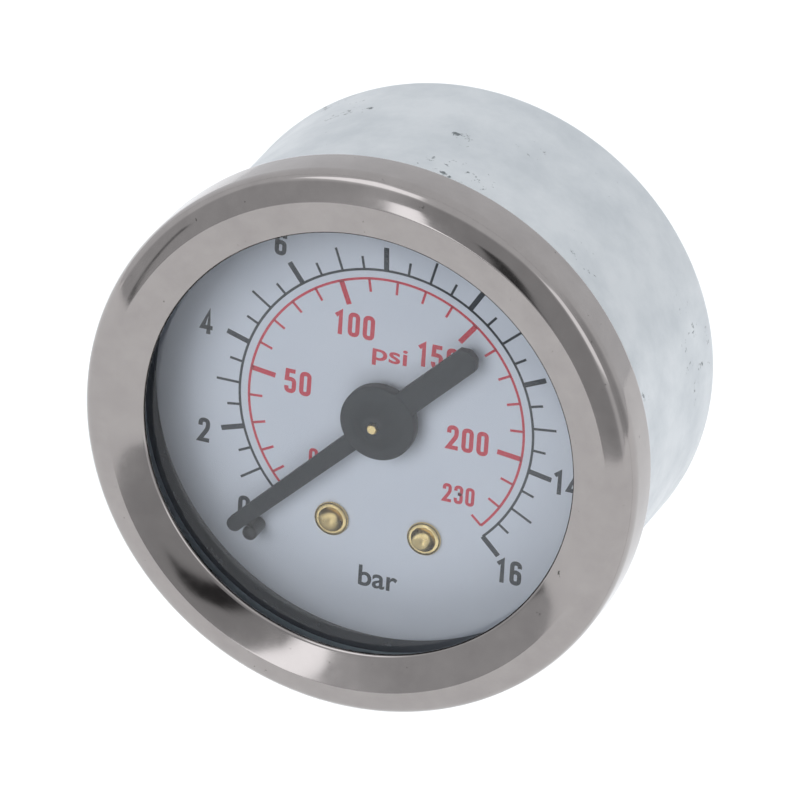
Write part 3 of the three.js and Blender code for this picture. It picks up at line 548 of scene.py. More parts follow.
# %% Bezel
BEZEL_SHEET = 0.5
BEZEL_OPENING = 17.45
LIP_Y = -6.2
SHOULDER_RADIUS = 19.3  # the face is a little convex: steep at the lip, flatter outside this
CREST_RADIUS = 20.35
BEZEL_REAR_INNER = 20.75
bezel_radius = half_width("bezel")
crest_y = front_of("bezel")
bezel_rear = back_of("bezel")
skirt_inner = bezel_radius - BEZEL_SHEET
piece("bezel_steel", spin([
    (BEZEL_OPENING, LIP_Y + 0.3, 0.1),
    (BEZEL_OPENING, LIP_Y - 0.05, 0.3),
    (SHOULDER_RADIUS, crest_y + 0.24, 0.8),
    (CREST_RADIUS, crest_y, 0.16),
    (bezel_radius - 1.1, crest_y + 0.32, 0.5),
    (bezel_radius - 0.3, crest_y + 0.76, 0.4),
    (bezel_radius + 0.05, crest_y + 1.5, 0.5),
    (bezel_radius, bezel_rear, 0.4),
    (BEZEL_REAR_INNER, bezel_rear, 0.08),
    (BEZEL_REAR_INNER, bezel_rear - BEZEL_SHEET, 0.08),
    (skirt_inner, bezel_rear - BEZEL_SHEET, 0.2),
    (skirt_inner, crest_y + 1.6, 0.6),
    (CREST_RADIUS, crest_y + BEZEL_SHEET, 0.6),
    (BEZEL_OPENING + 0.3, LIP_Y + 0.3, 0.05),
], facets=256, steps=8), STAINLESS, ["bezel"])

# %% [markdown]
# Behind the bezel's opening lie the window, its gasket and the spacer, whose wall stands on
# the dial. All three are plain rings or discs, and what makes them look real is the small
# rounding on every edge, which catches a thin line of light.

# %% Window, gasket and spacer
SPACER_BORE = 18.85
SPACER_WALL = 0.45
GASKET_FRONT = 18.75  # its inner face slopes, so that it can be seen past the lip
GASKET_BACK = 18.25
EDGE = 0.08
window_radius = half_width("window")
piece("window_pane", spin([
    (0, front_of("window"), 0), (window_radius, front_of("window"), EDGE),
    (window_radius, back_of("window"), EDGE), (0, back_of("window"), 0),
], steps=3), ACRYLIC, ["window"])
gasket_outer = half_width("window_gasket")
piece("gasket_ring", spin([
    (GASKET_FRONT, front_of("window_gasket"), 0.08),
    (gasket_outer, front_of("window_gasket"), 0.12),
    (gasket_outer, back_of("window_gasket"), 0.12),
    (GASKET_BACK, back_of("window_gasket"), 0.08),
], steps=4), RUBBER, ["window_gasket"])
flange_outer = half_width("spacer_ring")
flange_back = front_of("spacer_ring") + 0.4
piece("spacer_moulding", spin([
    (SPACER_BORE, front_of("spacer_ring"), EDGE), (flange_outer, front_of("spacer_ring"), EDGE),
    (flange_outer, flange_back, EDGE), (SPACER_BORE + SPACER_WALL, flange_back, EDGE),
    (SPACER_BORE + SPACER_WALL, back_of("spacer_ring"), EDGE),
    (SPACER_BORE, back_of("spacer_ring"), EDGE),
], steps=4), BLACK_ABS, ["spacer_ring"])

# %% [markdown]
# The case is a deep-drawn cup. Its back has a generous corner from the drawing, its front a
# rim rolled outwards, and its floor a hole for the socket's neck and two for the screws.

# %% Case
CASE_RADIUS = 20.6
CASE_WALL = 0.6
CASE_CORNER = 1.0
NECK_HOLE = 5.1
RIM_REAR = -2.65
SCREW_HOLE = 1.3
case_back = back_of("case")
rim_radius = half_width("case")
rim_front = front_of("case")
case_inner = CASE_RADIUS - CASE_WALL
screw_x = abs(middle("case_screw_right")[0])
case_mesh = spin([
    (case_inner, rim_front, 0.15), (rim_radius, rim_front, 0.2), (rim_radius, RIM_REAR, 0.2),
    (CASE_RADIUS, RIM_REAR, 0.3), (CASE_RADIUS, case_back, CASE_CORNER),
    (NECK_HOLE, case_back, 0.1), (NECK_HOLE, case_back - CASE_WALL, 0.05),
    (case_inner, case_back - CASE_WALL, CASE_CORNER * 0.7),
], steps=7)
for side in (-1, 1):
    case_mesh = combine(case_mesh, spin([
        (0, case_back - 2, 0), (SCREW_HOLE, case_back - 2, 0),
        (SCREW_HOLE, case_back + 1, 0), (0, case_back + 1, 0),
    ], facets=FINE, x=side * screw_x), "DIFFERENCE")
piece("case_shell", case_mesh, CASE_ZINC, ["case"])

# %% [markdown]
# The dial is a disc with a hole for the shaft, two for the rivets and one for the stop pin.

# %% Dial plate
DIAL_HOLE = 1.3
RIVET_NECK = 0.8
PIN_NECK = 0.5
dial_radius = half_width("dial")
dial_back = back_of("dial")
rivets = {side: middle("dial_pillar_" + side) for side in ("left", "right")}
pin_x, pin_z = middle("stop_pin")
dial_mesh = spin([
    (DIAL_HOLE, 0, 0.05), (dial_radius, 0, 0.1), (dial_radius, dial_back, 0.1),
    (DIAL_HOLE, dial_back, 0.05),
], steps=3)
for radius, x, z in [(RIVET_NECK, *spot) for spot in rivets.values()] + [(PIN_NECK, pin_x, pin_z)]:
    dial_mesh = combine(dial_mesh, spin([
        (0, -1, 0), (radius, -1, 0), (radius, 2, 0), (0, 2, 0),
    ], facets=FINE, x=x, z=z), "DIFFERENCE")
piece("dial_plate", dial_mesh, ENAMEL, ["dial"])

# %% [markdown]
# Two scales share the dial. The outer one, in black, runs from 0 to 16 bar and its marks
# point outwards. The inner one, in red, runs from 0 to 230 psi and its marks point inwards.
# The first bar is squeezed, because the tube barely moves before it, so zero sits on the
# stop 10 degrees short of where an even scale would put it.

# %% Scale geometry
BAR_RADIUS = 12.0
PSI_RADIUS = 11.24
LINE = 0.2  # width of the thin lines
THICK = 0.42
FULL_SCALE = 16
LAST_ANGLE = 135.0
ZERO_ANGLE = -135.0
DEGREES_PER_BAR = 17.31
PSI_PER_BAR = 14.5038
INK = 0.012  # thickness of the ink
BAR_MARK, HALF_BAR_MARK = 1.92, 1.08  # how long the marks are
PSI_MARK, SMALL_PSI_MARK = 2.0, 1.1


def bar_angle(bar):
    """Degrees clockwise from the top for a pressure in bar."""
    even = LAST_ANGLE - (FULL_SCALE - bar) * DEGREES_PER_BAR
    if bar >= 1:
        return even
    first = LAST_ANGLE - (FULL_SCALE - 1) * DEGREES_PER_BAR
    return ZERO_ANGLE + (first - ZERO_ANGLE) * bar


def mark(bm, angle, inner, outer, width):
    """One straight mark of the scale, pointing at the dial's centre."""
    a = math.radians(angle)
    out, side = Vector((math.sin(a), math.cos(a))), Vector((math.cos(a), -math.sin(a)))
    half = side * width / 2
    corners = [out * inner - half, out * inner + half, out * outer + half, out * outer - half]
    slab(corners, -INK, 0.0, bm)


def line(bm, radius, start, end):
    """The thin arc that carries the marks."""
    steps = round(abs(end - start) / 2)
    inner, outer = radius - LINE / 2, radius + LINE / 2
    slab(arc(outer, start, end, steps) + arc(inner, end, start, steps), -INK, 0.0, bm)


print(f"8 bar at {bar_angle(8):.1f} degrees, 100 psi at {bar_angle(100 / PSI_PER_BAR):.1f}")

# %% [markdown]
# The figures are a condensed engineer's lettering: strokes of one width, straight sides and
# round shoulders. Each one is drawn here as the path of its pen, in units of its own height,
# and the pen's width is laid over the path. The two words are set in Blender's own font,
# thickened a little.

# %% Figures
PEN = 0.17  # stroke width against the figure's height
WIDE = 0.47  # a figure's width against its height, to the outside of its strokes
SPACE = 0.13
L, R, T, B, M = PEN / 2, WIDE - PEN / 2, 1 - PEN / 2, PEN / 2, 0.54
C = (R - L) / 2  # radius that makes a full round end
X = (L + R) / 2
# The corners of each path are (x, z, rounding); a path that ends with None is closed.
PATHS = {
    "0": [[(L, B, C), (R, B, C), (R, T, C), (L, T, C), None]],
    "1": [[(L + 0.02, T - 0.16, 0), (X + 0.06, T, 0), (X + 0.06, 0, 0)]],
    "2": [[(L, T - 0.24, 0), (L, T, C), (R, T, C), (R, M + 0.04, 0.12), (L, B, 0),
           (R + L, B, 0)]],
    "3": [[(L, T - 0.22, 0), (L, T, C), (R, T, C), (R, M, C * 0.9), (X - 0.03, M, 0)],
          [(X - 0.03, M, 0), (R, M, C * 0.9), (R, B, C), (L, B, C), (L, B + 0.22, 0)]],
    "4": [[(R - 0.07, 0, 0), (R - 0.07, 0.93, 0), (L - 0.03, 0.27, 0), (R + 0.09, 0.27, 0)]],
    "5": [[(R + 0.03, T, 0), (L + 0.02, T, 0), (L, M + 0.04, 0), (R, M + 0.04, C),
           (R, B, C), (L, B, C), (L, B + 0.2, 0)]],
    "6": [[(R, T - 0.2, 0), (R, T, C), (L, T, C), (L, B, C), (R, B, C), (R, M, C),
           (L, M, C * 0.8), (L, M - 0.14, 0)]],
    "8": [[(L, B, C), (R, B, C), (R, M, C * 0.9), (L, M, C * 0.9), None],
          [(L + 0.02, M, C * 0.85), (R - 0.02, M, C * 0.85), (R - 0.02, T, C * 0.85),
           (L + 0.02, T, C * 0.85), None]],
}


def stroke(bm, path, closed, width, place):
    """Lays a pen of this width along a path, as one film of ink."""
    points = [p for i, p in enumerate(path) if i == 0 or (p - path[i - 1]).length > 1e-4]
    if closed and (points[0] - points[-1]).length < 1e-4:
        points.pop()
    count = len(points)
    sides = []
    for i, here in enumerate(points):
        before = points[i - 1] if i or closed else None
        after = points[(i + 1) % count] if i < count - 1 or closed else None
        into = (here - before).normalized() if before else (after - here).normalized()
        out = (after - here).normalized() if after else into
        across = Vector((-(into + out).y, (into + out).x)).normalized()
        reach = width / 2 / max(0.5, across.dot(Vector((-into.y, into.x))))
        sides.append([place(here + across * reach), place(here - across * reach)])
    rings = [[bm.verts.new((x * MM, (y + DIAL_FACE) * MM, z * MM))
              for (x, z), y in ((a, 0.0), (b, 0.0), (b, -INK), (a, -INK))] for a, b in sides]
    made = []
    for i in range(count if closed else count - 1):
        here, following = rings[i], rings[(i + 1) % count]
        for j in range(4):
            k = (j + 1) % 4
            made.append(bm.faces.new((here[j], here[k], following[k], following[j])))
    if not closed:
        made += [bm.faces.new(rings[0]), bm.faces.new(rings[-1])]
    bmesh.ops.recalc_face_normals(bm, faces=made)


def figure(bm, text, x, z, height):
    """Writes a number with its middle at x and z."""
    step = WIDE + SPACE
    length = step * len(text) - SPACE
    for number, character in enumerate(text):
        for corners in PATHS[character]:
            closed = corners[-1] is None
            path = rounded(corners[:-1] if closed else corners)
            left = number * step - length / 2
            stroke(bm, path, closed, PEN,
                   lambda p: (x + (p.x + left) * height, z + (p.y - 0.5) * height))


def word(bm, text, x, z, height, width, bold):
    """Adds a word in Blender's font to an ink film, with its middle at x and z."""
    curve = bpy.data.curves.new("word", "FONT")
    curve.body = text
    curve.align_x, curve.align_y = "CENTER", "CENTER"
    curve.offset = bold
    curve.resolution_u = 6
    made = place("word", curve)
    bpy.context.view_layer.update()
    mesh = made.to_mesh()
    low = [min(v.co[i] for v in mesh.vertices) for i in (0, 1)]
    high = [max(v.co[i] for v in mesh.vertices) for i in (0, 1)]
    tall, wide = height / (high[1] - low[1]), width / (high[0] - low[0])
    flat = bmesh.new()
    flat.from_mesh(mesh)
    made.to_mesh_clear()
    bpy.data.objects.remove(made)
    bpy.data.curves.remove(curve)
    bmesh.ops.remove_doubles(flat, verts=flat.verts, dist=1e-5)
    lid = bmesh.ops.extrude_face_region(flat, geom=flat.faces[:])
    raised = {v for v in lid["geom"] if isinstance(v, bmesh.types.BMVert)}
    for v in flat.verts:
        y = -INK if v in raised else 0.0
        v.co = Vector(((x + (v.co.x - (low[0] + high[0]) / 2) * wide) * MM,
                       (y + DIAL_FACE) * MM,
                       (z + (v.co.y - (low[1] + high[1]) / 2) * tall) * MM))
    bmesh.ops.recalc_face_normals(flat, faces=flat.faces)
    mesh = bpy.data.meshes.new("word")
    flat.to_mesh(mesh)
    flat.free()
    bm.from_mesh(mesh)
    bpy.data.meshes.remove(mesh)


print("figures drawn:", " ".join(sorted(PATHS)))

# %% Black print
FIGURE = 2.04
SMALL_FIGURE = 1.56
WORD = 1.75
FIGURE_CIRCLE = 15.6  # where the figures stand at the top of the dial
black = bmesh.new()
line(black, BAR_RADIUS, ZERO_ANGLE, LAST_ANGLE)
for half_bars in range(0, 2 * FULL_SCALE + 1):
    bar = half_bars / 2
    if 0 < bar < 1:
        continue
    even = half_bars % 4 == 0
    outer = BAR_RADIUS + (BAR_MARK if half_bars % 2 == 0 else HALF_BAR_MARK)
    mark(black, bar_angle(bar), BAR_RADIUS, outer, THICK if even else LINE)
BAR_FIGURES = {0: (-11.05, -10.5), 2: (-14.7, -4.65), 4: (-15.0, 4.5), 6: (-9.4, 12.4),
               14: (14.85, -2.55), 16: (10.75, -11.0)}
for bar in (8, 10, 12):
    a = math.radians(bar_angle(bar))
    BAR_FIGURES[bar] = (FIGURE_CIRCLE * math.sin(a), FIGURE_CIRCLE * math.cos(a))
for bar, (x, z) in BAR_FIGURES.items():
    figure(black, str(bar), x, z, FIGURE)
word(black, "bar", 0.24, -14.0, WORD, 3.2, 0.016)
piece("black_print", black, BLACK_INK)

# %% Red print
red = bmesh.new()
LAST_PSI = 230
line(red, PSI_RADIUS, ZERO_ANGLE, bar_angle(LAST_PSI / PSI_PER_BAR))
for psi in range(0, LAST_PSI + 1, 10):
    major = psi % 50 == 0 and psi > 0
    inner = PSI_RADIUS - (PSI_MARK if major else SMALL_PSI_MARK)
    mark(red, bar_angle(psi / PSI_PER_BAR), inner, PSI_RADIUS, THICK if major else LINE)
PSI_FIGURES = {50: (-7.3, 1.05), 100: (-3.07, 6.89), 150: (3.82, 5.68), 200: (6.73, -0.73)}
for psi, (x, z) in PSI_FIGURES.items():
    figure(red, str(psi), x, z, FIGURE)
figure(red, "0", -5.66, -4.97, SMALL_FIGURE)
figure(red, str(LAST_PSI), 6.3, -5.44, SMALL_FIGURE)
word(red, "psi", 0.0, 4.8, WORD, 2.85, 0.014)
piece("red_print", red, RED_INK)

# %% [markdown]
# The pointer is stamped from sheet: a slim blade to the scale, a broad tail with its corners
# cut off that balances it, and a hub pressed on. It is drawn pointing up and turned to zero.

# %% Pointer
HUB_RADIUS = 3.05
HUB_THICK = 1.0
BLADE_THICK = 0.7
BLADE_LIFT = 1.2
ROOT_WIDTH = 1.5
TIP_WIDTH = 1.2
BLADE_LENGTH = 16.3
TAIL_LENGTH = 10.3
TAIL_WIDTH = 2.05
TAIL_CHAMFER = 0.6
BOSS_RADIUS = 0.85
BOSS_FOOT = 2.0
TIP_BORE = 0.48
blade_face = -(BLADE_LIFT + BLADE_THICK)
hub_face = blade_face - 0.1
boss_face = front_of("pointer")


def blade_outline():
    tip, root, tail = TIP_WIDTH / 2, ROOT_WIDTH / 2, TAIL_WIDTH / 2
    head = arc(tip, 90, -90, 16, z=BLADE_LENGTH - tip)
    side = [(-root, 0), (-tail, 0), (-tail, TAIL_CHAMFER - TAIL_LENGTH),
            (TAIL_CHAMFER - tail, -TAIL_LENGTH)]
    return head + side + [(-x, z) for x, z in reversed(side)]


blade = slab(blade_outline(), blade_face, -BLADE_LIFT)
hub = spin([
    (0, boss_face, 0), (BOSS_RADIUS, boss_face, 0.25), (BOSS_FOOT, hub_face, 0.4),
    (HUB_RADIUS, hub_face, 0.2), (HUB_RADIUS, hub_face + HUB_THICK, 0.1),
    (0, hub_face + HUB_THICK, 0),
], facets=96, steps=4)
bore = spin([(0, boss_face - 1, 0), (TIP_BORE, boss_face - 1, 0), (TIP_BORE, 0, 0), (0, 0, 0)],
            facets=FINE)
pointer_mesh = combine(combine(blade, hub, "UNION"), bore, "DIFFERENCE")
bmesh.ops.rotate(pointer_mesh, verts=pointer_mesh.verts, cent=(0, 0, 0),
                 matrix=Matrix.Rotation(math.radians(ZERO_ANGLE), 3, "Y"))
soften(piece("pointer_blade", pointer_mesh, BLACK_PAINT, ["pointer"], "pointer"), 0.07)

# %% [markdown]
# The shaft's end shows in the middle of the hub as a bright brass dot. The stop pin stands
# beside the blade and holds it at zero, and the rivets hold the dial on its pillars. Their
# heads were set with a pointed punch, which left a cone with a bright rim round it.

# %% Rivets and stop pin
RIVET_RADIUS = 1.38
RIVET_RISE = 0.4
CONE_RADIUS = 1.02
PILLAR_RADIUS = 1.15
CONE_DEPTH = 0.42
PLATE_FACE = 3.0
for side, (x, z) in rivets.items():
    piece("rivet_" + side, spin([
        (0, CONE_DEPTH, 0), (CONE_RADIUS, -RIVET_RISE, 0.06), (RIVET_RADIUS, -RIVET_RISE + 0.06, 0.2),
        (RIVET_RADIUS, -SEAT_GAP, 0.06), (RIVET_NECK - SEAT_GAP, -SEAT_GAP, 0),
        (RIVET_NECK - SEAT_GAP, dial_back + SEAT_GAP, 0), (PILLAR_RADIUS, dial_back + SEAT_GAP, 0.1),
        (PILLAR_RADIUS, PLATE_FACE - SEAT_GAP, 0.1), (RIVET_NECK - SEAT_GAP, PLATE_FACE - SEAT_GAP, 0),
        (RIVET_NECK - SEAT_GAP, back_of("dial_pillar_" + side), 0.05),
        (0, back_of("dial_pillar_" + side), 0),
    ], facets=FINE, x=x, z=z, steps=4), PALE_BRASS, ["dial_pillar_" + side])
pin_front, pin_back = front_of("stop_pin"), back_of("stop_pin")
PIN_RADIUS = 0.6
piece("stop_pin_nylon", spin([
    (0, pin_front, 0), (PIN_RADIUS, pin_front, 0.35), (PIN_RADIUS, -SEAT_GAP, 0.05),
    (PIN_NECK - SEAT_GAP, -SEAT_GAP, 0), (PIN_NECK - SEAT_GAP, pin_back, 0.05), (0, pin_back, 0),
], facets=48, x=pin_x, z=pin_z, steps=6), BLACK_NYLON, ["stop_pin"])

# %% [markdown]
# The socket is one brass forging: a stem with a G 1/8 thread, a square for the wrench, a
# neck through the case, and inside it the block that carries the movement. The thread's
# groove is a true helix. It starts from a plain shank, and the stem's end is chamfered.

# %% Threaded stem
THREAD_MAJOR = 9.728
THREAD_PITCH = 0.907
THREAD_DEPTH = 0.581
RUNOUT = 0.6  # plain shank before the groove starts
LEAD_IN = 0.9  # length over which the groove reaches its depth
END_CHAMFER = 0.7
ROWS_PER_PITCH = 10
shoulder_y = -DIAL_FACE
stem_end = back_of("socket")


def thread_radius(y, angle):
    """The stem's radius at a depth and an angle: a rounded groove on a helix."""
    along = y - shoulder_y
    phase = along / THREAD_PITCH - angle / (2 * math.pi)
    groove = 0.5 + 0.5 * math.cos(2 * math.pi * phase)
    opened = min(1.0, max(0.0, (along - RUNOUT) / LEAD_IN))
    radius = THREAD_MAJOR / 2 - THREAD_DEPTH * opened * groove ** 0.85
    return min(radius, THREAD_MAJOR / 2 - END_CHAMFER + (stem_end - y))


def threaded_stem():
    facets = 96
    rows = round((stem_end - shoulder_y) / THREAD_PITCH * ROWS_PER_PITCH)
    depths = [shoulder_y - 1.0] + [shoulder_y + (stem_end - shoulder_y) * k / rows
                                   for k in range(rows + 1)]
    bm = bmesh.new()
    grid = []
    for y in depths:
        ring = []
        for i in range(facets):
            angle = 2 * math.pi * i / facets
            r = thread_radius(y, angle)
            ring.append(bm.verts.new((r * math.cos(angle) * MM, (y + DIAL_FACE) * MM,
                                      r * math.sin(angle) * MM)))
        grid.append(ring)
    for lower, upper in zip(grid, grid[1:]):
        for i in range(facets):
            k = (i + 1) % facets
            bm.faces.new((lower[i], lower[k], upper[k], upper[i]))
    bm.faces.new(grid[0])
    bm.faces.new(list(reversed(grid[-1])))
    bmesh.ops.recalc_face_normals(bm, faces=bm.faces)
    return bm


print("thread turns", round((stem_end - shoulder_y) / THREAD_PITCH, 1))

# %% Socket
SQUARE_FLATS = 11.0
SQUARE_CORNER = 0.9
NECK_RADIUS = 4.9
SQUARE_GAP = 0.6  # case back to the square
BLOCK_HALF_WIDTH = 5.2
EAR_FRONT = 13.4
EAR_BACK = 16.4
PORT_RADIUS = 1.6
POST_INNER = 12.95
POST_OUTER = 15.7
POST_LENGTH = 4.9
EAR_CORNER = 2.4
BLOCK_TOP = 4.6
block_front = front_of("socket") + POST_LENGTH
block_low, block_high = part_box("socket")


def rounded_box(x0, z0, x1, z1, corner):
    corners = [(x0, z0, corner), (x1, z0, corner), (x1, z1, corner), (x0, z1, corner)]
    return [tuple(p) for p in rounded(corners, 6)]


half = SQUARE_FLATS / 2
square_front = case_back + SQUARE_GAP
socket_mesh = slab(rounded_box(-half, -half, half, half, SQUARE_CORNER), square_front, shoulder_y)
ears_width = half_width("socket")
ears_height = block_high.z / MM
parts = [
    spin([(0, EAR_BACK - 0.5, 0), (NECK_RADIUS, EAR_BACK - 0.5, 0),
          (NECK_RADIUS, square_front + 0.5, 0), (0, square_front + 0.5, 0)], facets=96),
    slab(rounded_box(-ears_width, -ears_height, ears_width, ears_height, EAR_CORNER), EAR_FRONT, EAR_BACK),
    slab(rounded_box(-BLOCK_HALF_WIDTH, block_low.z / MM, BLOCK_HALF_WIDTH, BLOCK_TOP, 0.4),
         block_front, EAR_FRONT + 0.1),
    slab(arc(POST_OUTER, 180.5, 193.5, 6) + arc(POST_INNER, 193.5, 180.5, 6),
         front_of("socket"), block_front + 0.5),
    threaded_stem(),
]
for part in parts:
    socket_mesh = combine(socket_mesh, part, "UNION")
port = spin([(0, EAR_FRONT, 0), (PORT_RADIUS, EAR_FRONT, 0), (PORT_RADIUS, stem_end + 1, 0),
             (0, stem_end + 1, 0)], facets=FINE)
socket_mesh = combine(socket_mesh, port, "DIFFERENCE")
soften(piece("socket_forging", socket_mesh, STEM_BRASS, ["socket"]), 0.12)

# %% [markdown]
# Two cheese-head screws hold the case to the socket. Each head has a sawn slot with straight
# walls, so it is cut with a thin slab.

# %% Case screws
HEAD_RADIUS = 2.1
SHANK_RADIUS = 1.2
SLOT_WIDTH = 0.55
SLOT_DEPTH = 0.65
for side, sign in (("left", -1), ("right", 1)):
    node = "case_screw_" + side
    seat, top = case_back + SEAT_GAP, back_of(node)
    x = sign * screw_x
    screw = spin([
        (0, front_of(node), 0), (SHANK_RADIUS, front_of(node), 0.3), (SHANK_RADIUS, seat, 0.05),
        (HEAD_RADIUS, seat, 0.1), (HEAD_RADIUS, top, 0.35), (0, top, 0),
    ], facets=FINE, x=x, steps=5)
    slot_outline = [(x - 3, -SLOT_WIDTH / 2), (x + 3, -SLOT_WIDTH / 2),
                    (x + 3, SLOT_WIDTH / 2), (x - 3, SLOT_WIDTH / 2)]
    screw = combine(screw, slab(slot_outline, top - SLOT_DEPTH, top + 1), "DIFFERENCE")
    soften(piece("cheese_head_screw_" + side, screw, SCREW_ZINC, [node]), 0.05)

# %% [markdown]
# The tube is a flattened phosphor bronze tube bent to three quarters of a circle. When the
# pressure rises it opens a little and its tip swings outwards, so it is swept here with
# enough rings to bend smoothly between the socket and the tip piece. One fault is left: near
# full scale the bent tube crosses the socket at its root.

# %% Bourdon tube
TUBE_RADIUS = 14.0
TUBE_WIDTH = 4.6
TUBE_DEPTH = 1.7
TUBE_WALL = 0.25
TUBE_ROOT = 194.0  # degrees clockwise from the top
TUBE_ARC = 264.0
tube_middle = (front_of("bourdon_tube") + back_of("bourdon_tube")) / 2


def flat_oval(width, depth, steps=8):
    """The section's outline as (across the arc, along Y) points."""
    straight = (width - depth) / 2
    ends = []
    for sign in (1, -1):
        for k in range(steps + 1):
            angle = math.radians(-90 + 180 * k / steps)
            ends.append((sign * depth / 2 * math.sin(angle),
                         sign * (straight + depth / 2 * math.cos(angle))))
    return ends


def swept_tube():
    bm = bmesh.new()
    rings = 132
    outlines = (flat_oval(TUBE_WIDTH, TUBE_DEPTH),
                flat_oval(TUBE_WIDTH - 2 * TUBE_WALL, TUBE_DEPTH - 2 * TUBE_WALL))
    grid = []
    for i in range(rings + 1):
        a = math.radians(TUBE_ROOT + TUBE_ARC * i / rings)
        grid.append([[bm.verts.new(((TUBE_RADIUS + u) * math.sin(a) * MM,
                                    (tube_middle + v + DIAL_FACE) * MM,
                                    (TUBE_RADIUS + u) * math.cos(a) * MM))
                      for u, v in outline] for outline in outlines])
    count = len(outlines[0])
    for here, following in zip(grid, grid[1:]):
        for wall in (0, 1):
            for i in range(count):
                k = (i + 1) % count
                bm.faces.new((here[wall][i], here[wall][k], following[wall][k],
                              following[wall][i]))
    for outer, inner in (grid[0], grid[-1]):
        for i in range(count):
            k = (i + 1) % count
            bm.faces.new((outer[i], outer[k], inner[k], inner[i]))
    bmesh.ops.recalc_face_normals(bm, faces=bm.faces)
    return bm


tube_data = bpy.data.meshes.new("tube_bronze")
tube_mesh = swept_tube()
tube_mesh.to_mesh(tube_data)
tube_mesh.free()
tube_data.shade_smooth()
tube_data.set_sharp_from_angle(angle=SHARP)
tube_data.materials.append(BRONZE)
tube = place("tube_bronze", tube_data)
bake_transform(tube)
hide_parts("bourdon_tube")
print("tube", len(tube_data.polygons), "faces")

# %% [markdown]
# What is left of the movement keeps the imported shape, which is already the real one. Each
# piece gets the finish of its metal, and all but the hairspring a fine bevel, because a real edge is never
# sharp.

# %% Finishes for the movement
INSIDE = {
    PALE_BRASS: ["pinion_arbor"],
    TURNED_BRASS: ["sector_arbor", "hairspring_collet", "hairspring_stud",
                   "movement_pillar_left", "movement_pillar_right", "tube_tip",
                   "passage_plug"],
    SHEET_BRASS: ["sector_gear", "movement_front_plate", "movement_back_plate", "link"],
    BRONZE: ["hairspring"],
    SCREW_ZINC: ["plate_screw_left", "plate_screw_right", "movement_screw_left",
                 "movement_screw_right", "tip_pin", "link_screw", "restrictor_screw"],
    RUBBER: ["stem_seal"],
}
for finish, names in INSIDE.items():
    for name in names:
        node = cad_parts[name]
        node.data.materials.clear()
        node.data.materials.append(finish)
        if name != "hairspring":
            soften(node, 0.03, 1)
print("finished", sum(len(names) for names in INSIDE.values()), "nodes")

# %% [markdown]
# The studio is a pale floor far enough below for the shadow to fade, and a pale room all
# round. A polished ring shows whatever stands round it, so the room is not even: it is
# brighter where the soft boxes hang and darker behind the camera, as in any small studio.

# %% Floor
FLOOR_DROP = 90  # below the gauge's axis
FLOOR_SIDE = 1000  # how far it reaches to each side and behind
FLOOR_FRONT = 290


def floor_finish():
    material, tree, where = start("pale_studio_floor")
    colour = mixed(tree, noise(tree, where, 40.0), "#fbfbfb", "#fdfdfd")
    return finished(material, tree, colour, 0.9)


floor_data = bpy.data.meshes.new("floor")
floor_mesh = bmesh.new()
corners = [(x * MM, y * MM) for x, y in ((-FLOOR_SIDE, -FLOOR_FRONT), (FLOOR_SIDE, -FLOOR_FRONT),
                                         (FLOOR_SIDE, FLOOR_SIDE), (-FLOOR_SIDE, FLOOR_SIDE))]
floor_mesh.faces.new([floor_mesh.verts.new((x, y, -FLOOR_DROP * MM)) for x, y in corners])
floor_mesh.to_mesh(floor_data)
floor_mesh.free()
floor_data.materials.append(floor_finish())
floor = place("floor", floor_data)
print("floor", FLOOR_DROP, "mm below the axis")

# %% Room
ROOM = 0.95
CARDS = [
    # azimuth, elevation, half width, half height, softness (all in degrees), brightness
    (-45, 8, 27, 29, 14, 0.7),  # the left wall, further away
    (14, 11, 26, 31, 18, 0.55),  # the dim side of the room, behind the camera
    (92, 5, 26, 30, 18, 0.64),  # the right wall
    (56, 25, 12, 15, 6, 1.9),  # a soft box on the right
    (-39, 60, 32, 13, 6, 2.3),  # a soft box overhead
    (-12, 3, 2.8, 15, 1.0, 2.6),  # a strip light beside the camera
    (-50, -6, 1.2, 9, 0.8, 0.2),  # the leg of a stand
    (3.0, 3.5, 3.0, 9, 2.0, 0.04),  # the camera and its tripod
]


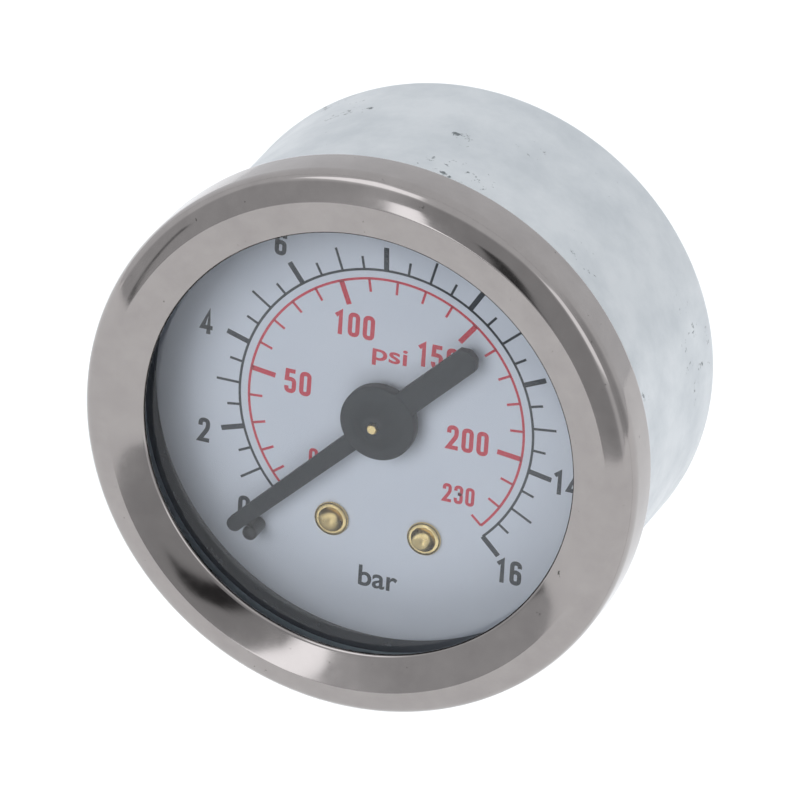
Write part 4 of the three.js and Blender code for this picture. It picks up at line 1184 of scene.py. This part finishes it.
def room():
    world = bpy.data.worlds.new("pale_room")
    world.use_nodes = True
    tree = world.node_tree
    tree.nodes.clear()
    facing = add(tree, "ShaderNodeTexCoord").outputs["Generated"]
    x, y, z = add(tree, "ShaderNodeSeparateXYZ", {0: facing}).outputs
    front = add(tree, "ShaderNodeMath", {0: y, 1: -1.0}, operation="MULTIPLY").outputs[0]
    around = add(tree, "ShaderNodeMath", {0: x, 1: front}, operation="ARCTAN2").outputs[0]
    above = add(tree, "ShaderNodeMath", {0: z}, operation="ARCSINE").outputs[0]

    def within(angle, centre, reach, softness):
        """1 inside the card, 0 outside it, with a soft edge."""
        off = add(tree, "ShaderNodeMath", {0: angle, 1: math.radians(centre)},
                  operation="SUBTRACT").outputs[0]
        off = add(tree, "ShaderNodeMath", {0: off}, operation="ABSOLUTE").outputs[0]
        return add(tree, "ShaderNodeMapRange",
                   {"Value": off, "From Min": math.radians(reach + softness / 2),
                    "From Max": math.radians(reach - softness / 2)},
                   interpolation_type="SMOOTHSTEP").outputs[0]

    light = ROOM
    for azimuth, elevation, half_w, half_h, softness, brightness in CARDS:
        share = add(tree, "ShaderNodeMath",
                    {0: within(around, azimuth, half_w, softness),
                     1: within(above, elevation, half_h, softness)}, operation="MULTIPLY")
        light = add(tree, "ShaderNodeMix", {0: share.outputs[0], 2: light,
                                            3: ROOM * brightness}).outputs[0]
    path = add(tree, "ShaderNodeLightPath")
    seen = add(tree, "ShaderNodeMix", {0: path.outputs["Is Camera Ray"], 2: light, 3: 1.2})
    glow = add(tree, "ShaderNodeBackground", {"Color": linear("#f5f7fb"),
                                              "Strength": seen.outputs[0]})
    add(tree, "ShaderNodeOutputWorld", {"Surface": glow.outputs[0]})
    return world


bpy.context.scene.world = room()
bpy.context.scene.view_settings.view_transform = "Standard"
print("room with", len(CARDS), "cards")

# %% [markdown]
# Two very soft lamps fill in what an even room can't: one from the front that reaches down
# to the recessed dial, and one from above for the floor. They are left out of reflections,
# so the steel shows only the room.

# %% Lamps
LAMPS = [
    # name, azimuth, elevation, strength in watts per square metre, angular size in degrees
    ("front_fill", -12, 22, 1.12, 40),
    ("top_fill", 0, 82, 0.3, 60),
]
for name, azimuth, elevation, strength, size in LAMPS:
    lamp = bpy.data.lights.new(name, "SUN")
    lamp.energy = strength
    lamp.angle = math.radians(size)
    made = place(name, lamp)
    made.matrix_world = Matrix(
        [*zip(*camera_axes(azimuth, elevation, 0))]).to_4x4()
    made.visible_glossy = False
print("lamps", [name for name, *rest in LAMPS])
